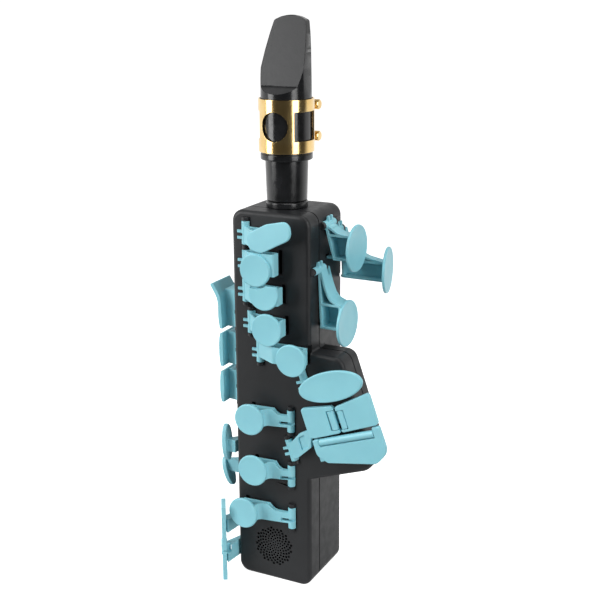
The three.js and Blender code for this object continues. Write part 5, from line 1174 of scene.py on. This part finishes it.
def mouthpiece():
    outside = turned([
        (0, SHANK_BOTTOM), (10.1, SHANK_BOTTOM), (10.45, SHANK_BOTTOM + 0.35), (10.97, 227.0), (10.97, 229.5),
        (12.9, 229.5), (13.2, 229.65), (13.3, 230.0), (13.3, 232.2), (13.2, 232.5), (12.95, 232.7),
        (BARREL_LOW, BEAK_SHOULDER - BEAK_LEAD), (BARREL_HIGH, BEAK_TOP), (0, BEAK_TOP),
    ], 96)
    low = SHANK_BOTTOM - 1
    wide = 2 * BARREL_LOW
    slope = across_sweep([
        (-wide, low), (wide, low), (wide, 236.0), (TABLE_DEPTH, 236.0), (TABLE_DEPTH - GAP, WINDOW_BOTTOM),
        (8.3, BEAK_TOP, 0.6), (*SLOPE_TOP, 0.9), (*SLOPE_FOOT, 3.0),
        (-BARREL_LOW - 1, BEAK_SHOULDER - BEAK_LEAD), (-wide, BEAK_SHOULDER - BEAK_LEAD),
    ], 2 * wide, 14)
    right_side = [(12.9, 262.0), (12.3, 271, 30), (11.3, 283, 30), (10.0, 292, 20), (8.9, 297.6, 1.8),
                  (5.4, 299.2, 8)]
    left_side = [(-across, *rest) for across, *rest in reversed(right_side)]
    sides = slab([(-wide, low), (wide, low), (wide, 262.0), *right_side, (0, 300.3, 30), *left_side,
                  (-wide, 262.0)], -wide, 2 * wide, steps=12)
    bore = rod(MOUTHPIECE_BORE, BORE_TOP - low, "z", (0, 0, (BORE_TOP + low) / 2), 64)
    chamber = across_sweep([
        (-4.05, BORE_TOP - 1), (4.05, BORE_TOP - 1), (wide, WINDOW_BOTTOM), (wide, 297.6), (8.3, 297.6),
        (0, BORE_TOP + 2 * MOUTHPIECE_BORE, 6),
    ], 11.0)
    return cut(kept(outside, slope, sides), bore, chamber)


def reed():
    flat = TABLE_DEPTH + GAP
    blade = across_sweep([
        (flat, 238.0), (BARREL_LOW, 238.0), (BARREL_LOW, 263.0), (flat + 2, 272.0, 12), (flat + 0.5, 299.4),
        (flat, 299.4),
    ], 16.0, 8)
    outline = slab([(-6.8, 238.0), (6.8, 238.0), (8.0, 299.4, 7.2), (-8.0, 299.4, 7.2)], 0, 2 * BARREL_LOW,
                   steps=14)
    return kept(blade, rod(BARREL_LOW, 100, "z", (0, 0, 260), 96), outline)


LIGATURE_INNER = BARREL_LOW + 0.5
LIGATURE_OUTER = LIGATURE_INNER + 0.8
LIGATURE_BOTTOM = 233.6
LIGATURE_TOP = 260.0
LIGATURE_MIDDLE = (LIGATURE_BOTTOM + LIGATURE_TOP) / 2
LIGATURE_SLIT = 4.0
WINDOW_HEIGHT = 14.4
FRONT_WINDOW_RADIUS = 7.3
LUG_TUBE_RADIUS = 2.2
LUG_TUBE_LENGTH = 4.5
LIGATURE_SCREW_RADIUS = 0.9
THUMB_RADIUS = 2.6
THUMB_LENGTH = 4.0
KNURLS = 24
KNURL_DEPTH = 0.13
LIGATURE_SCREWS = {"lower_ligature_screw": 239.5, "upper_ligature_screw": 255.5}
SCREW_SET = LIGATURE_OUTER + LUG_TUBE_RADIUS - GAP


def side_window(way):
    """A window between two turns from the front, with rounded corners."""
    reach = LIGATURE_OUTER + 2
    turns = [0.75 + 1.08 * step / 12 for step in range(13)]
    outline = [(0, 0)] + [(way * reach * math.sin(turn), -reach * math.cos(turn)) for turn in turns]
    return prism(outline, WINDOW_HEIGHT, at(0, 0, LIGATURE_MIDDLE - WINDOW_HEIGHT / 2))


def ligature():
    band = turned([(LIGATURE_INNER, LIGATURE_BOTTOM), (LIGATURE_OUTER, LIGATURE_BOTTOM),
                   (LIGATURE_OUTER, LIGATURE_TOP), (LIGATURE_INNER, LIGATURE_TOP),
                   (LIGATURE_INNER, LIGATURE_BOTTOM)], 120)
    front_window = rod(FRONT_WINDOW_RADIUS, 2 * LIGATURE_OUTER, "y",
                       (0, -LIGATURE_OUTER, LIGATURE_MIDDLE), 64)
    ring = cut(band, front_window, side_window(-1), side_window(1))
    tubes, bores = [], []
    for height in LIGATURE_SCREWS.values():
        bores.append(rod(LIGATURE_SCREW_RADIUS + GAP, 4 * LUG_TUBE_LENGTH, "x", (0, SCREW_SET, height), 28))
        for way in (-1, 1):
            across = way * (LIGATURE_SLIT + LUG_TUBE_LENGTH) / 2
            tubes.append(rod(LUG_TUBE_RADIUS, LUG_TUBE_LENGTH, "x", (across, SCREW_SET, height), 36))
            tubes.append(box((LUG_TUBE_LENGTH, 2 * LUG_TUBE_RADIUS, 2 * LUG_TUBE_RADIUS),
                             (across, SCREW_SET - LUG_TUBE_RADIUS, height)))
    core = rod(LIGATURE_INNER, 60, "z", (0, 0, LIGATURE_MIDDLE), 120)
    slit = box((LIGATURE_SLIT, 4 * LUG_TUBE_RADIUS, 60), (0, LIGATURE_OUTER, LIGATURE_MIDDLE))
    return cut(joined(ring, *tubes), core, slit, *bores)


def ligature_screw(height):
    """A thin screw with a knurled thumb head on the right."""
    length = LIGATURE_SLIT + 2 * LUG_TUBE_LENGTH + 2 * GAP
    middle = (length + THUMB_LENGTH) / 2
    shank = rod(LIGATURE_SCREW_RADIUS, length + THUMB_LENGTH, "x",
                (THUMB_LENGTH / 2 - 0.1, SCREW_SET, height), 28)
    head = rod(THUMB_RADIUS, THUMB_LENGTH, "x", (middle, SCREW_SET, height), 48, 0.4)
    grooves = []
    for step in range(KNURLS):
        angle = math.tau * step / KNURLS
        place = (middle, SCREW_SET + THUMB_RADIUS * math.cos(angle), height + THUMB_RADIUS * math.sin(angle))
        grooves.append(rod(KNURL_DEPTH, THUMB_LENGTH + 1, "x", place, 6))
    return joined(cut(head, *grooves), shank)


def file_slope(piece):
    """Gives the slope of the beak its satin finish."""
    outward = Vector((0, SLOPE_FOOT[1] - SLOPE_TOP[1], SLOPE_TOP[0] - SLOPE_FOOT[0])).normalized()
    piece.data.materials.append(BEAK)
    for face in piece.data.polygons:
        if face.normal.dot(outward) > SLOPE_LIKENESS and face.center.y < SLOPE_REAR * MILLIMETRE:
            face.material_index = 1


MOUTH_SHAPES = {"mouthpiece": (mouthpiece, 0.12), "reed": (reed, 0.05), "ligature": (ligature, 0.14)}
for node, (maker, edge) in MOUTH_SHAPES.items():
    shape = maker()
    soften_edges(shape, edge)
    piece = set_down(node + "_body", shape, node)
    if node == "mouthpiece":
        file_slope(piece)

for node, height in LIGATURE_SCREWS.items():
    set_down(node + "_turned", ligature_screw(height), node)


# Pieces whose CAD shape is already right, with their edges rounded
FINISHED_EDGE = 0.16
for node in frame["nodes"]:
    if not frame["nodes"][node].hide_render:
        shape = copy_of(node)
        soften_edges(shape, FINISHED_EDGE * MILLIMETRE)
        set_down(node + "_finished", shape, node, IN_PLACE)


# Studio
PHOTO_AZIMUTH = math.radians(26.99)
PHOTO_ELEVATION = math.radians(16.32)
PHOTO_ROLL = math.radians(-0.36)
PHOTO_LENS = 66.76
CAMERA_AIM = Vector((0, 0, 0.1025))
CAMERA_AWAY = 0.60025
CAMERA_RIGHT = 0.00594
CAMERA_UP = 0.05001
LIGHT_AIM = Vector((0, 0, 0.15))
WORLD_LEVEL = 0.26
DARK_ROOM = 0.05
FLOOR_GLOW = 0.87
FLOOR_PAINT = 0.8
FLOOR_DROP = 0.0001


def add_camera():
    back = Vector((math.sin(PHOTO_AZIMUTH) * math.cos(PHOTO_ELEVATION),
                   -math.cos(PHOTO_AZIMUTH) * math.cos(PHOTO_ELEVATION), math.sin(PHOTO_ELEVATION)))
    level_right = Vector((math.cos(PHOTO_AZIMUTH), math.sin(PHOTO_AZIMUTH), 0))
    level_up = back.cross(level_right)
    right = level_right * math.cos(PHOTO_ROLL) + level_up * math.sin(PHOTO_ROLL)
    up = level_up * math.cos(PHOTO_ROLL) - level_right * math.sin(PHOTO_ROLL)
    centre = CAMERA_AIM + back * CAMERA_AWAY + right * CAMERA_RIGHT + up * CAMERA_UP
    data = bpy.data.cameras.new("camera")
    data.lens = PHOTO_LENS
    data.sensor_width = 36
    data.clip_start = 0.05
    data.clip_end = 50
    camera = show("camera", data)
    camera.matrix_world = Matrix.Translation(centre) @ Matrix((right, up, back)).transposed().to_4x4()
    bpy.context.scene.camera = camera


def add_softbox(name, centre, width, height, power):
    data = bpy.data.lights.new(name, "AREA")
    data.shape = "RECTANGLE"
    data.size = width
    data.size_y = height
    data.energy = power
    way = LIGHT_AIM - Vector(centre)
    turn = way.to_track_quat("-Z", "Y").to_matrix().to_4x4()
    show(name, data).matrix_world = Matrix.Translation(centre) @ turn


def larger(tree, first, second):
    node = tree.nodes.new("ShaderNodeMath")
    node.operation = "MAXIMUM"
    tree.links.new(first, node.inputs[0])
    tree.links.new(second, node.inputs[1])
    return node.outputs[0]


def shown_rays(tree):
    """1 for the rays that see the background: camera, glossy and transmission rays."""
    rays = tree.nodes.new("ShaderNodeLightPath").outputs
    seen = larger(tree, rays["Is Camera Ray"], rays["Is Glossy Ray"])
    return larger(tree, seen, rays["Is Transmission Ray"])


def room_strength(tree, place, near, far):
    """1 at the white backdrop, falling to the level of the unlit room in front of the object."""
    toward_room = tree.nodes.new("ShaderNodeVectorMath")
    toward_room.operation = "DOT_PRODUCT"
    tree.links.new(place, toward_room.inputs[0])
    toward_room.inputs[1].default_value = (math.sin(PHOTO_AZIMUTH), -math.cos(PHOTO_AZIMUTH), 0)
    share = add_node(tree, "ShaderNodeMapRange", {"Value": toward_room.outputs["Value"]},
                     From_Min=near, From_Max=far, To_Min=1.0, To_Max=DARK_ROOM)
    rays = tree.nodes.new("ShaderNodeLightPath").outputs
    return larger(tree, share.outputs["Result"], rays["Is Camera Ray"])


def add_world():
    world = bpy.data.worlds.new("studio")
    world.use_nodes = True
    tree = world.node_tree
    background = tree.nodes["Background"]
    background.inputs["Color"].default_value = (1, 1, 1, 1)
    direction = tree.nodes.new("ShaderNodeTexCoord").outputs["Generated"]
    strength = add_node(tree, "ShaderNodeMapRange",
                        {"Value": shown_rays(tree), "To Max": room_strength(tree, direction, -1.0, 0.35)},
                        To_Min=WORLD_LEVEL)
    tree.links.new(strength.outputs["Result"], background.inputs["Strength"])
    bpy.context.scene.world = world


def pale_floor():
    """White paint that also glows for the rays that see the backdrop."""
    material = bpy.data.materials.new("pale_floor")
    material.use_nodes = True
    tree = material.node_tree
    tree.nodes.remove(tree.nodes["Principled BSDF"])
    position = tree.nodes.new("ShaderNodeNewGeometry").outputs["Position"]
    room = room_strength(tree, position, -0.3, 0.35)
    shade = add_node(tree, "ShaderNodeMapRange", {"Value": room}, To_Max=FLOOR_PAINT)
    paint = add_node(tree, "ShaderNodeBsdfDiffuse", {"Color": shade.outputs["Result"]})
    most = add_node(tree, "ShaderNodeMapRange", {"Value": room}, To_Max=FLOOR_GLOW)
    strength = add_node(tree, "ShaderNodeMapRange",
                        {"Value": shown_rays(tree), "To Max": most.outputs["Result"]})
    glow = add_node(tree, "ShaderNodeEmission", {"Strength": strength.outputs["Result"]}, Color=(1, 1, 1, 1))
    total = tree.nodes.new("ShaderNodeAddShader")
    tree.links.new(paint.outputs["BSDF"], total.inputs[0])
    tree.links.new(glow.outputs["Emission"], total.inputs[1])
    tree.links.new(total.outputs["Shader"], tree.nodes["Material Output"].inputs["Surface"])
    return material


def add_floor():
    shape = bmesh.new()
    bmesh.ops.create_grid(shape, x_segments=1, y_segments=1, size=20)
    mesh = mesh_of("floor", shape)
    mesh.materials.append(pale_floor())
    floor = show("floor", mesh)
    floor.location.z = cad_lowest.z - FLOOR_DROP


add_camera()
add_world()
add_floor()
add_softbox("left_softbox", (-0.8, -0.75, 0.5), 0.55, 1.2, 13)
add_softbox("right_softbox", (0.95, -0.45, 0.45), 0.5, 1.2, 9)
add_softbox("top_softbox", (0.1, -0.1, 1.2), 0.6, 0.6, 3.5)
bpy.context.scene.view_settings.view_transform = "Standard"
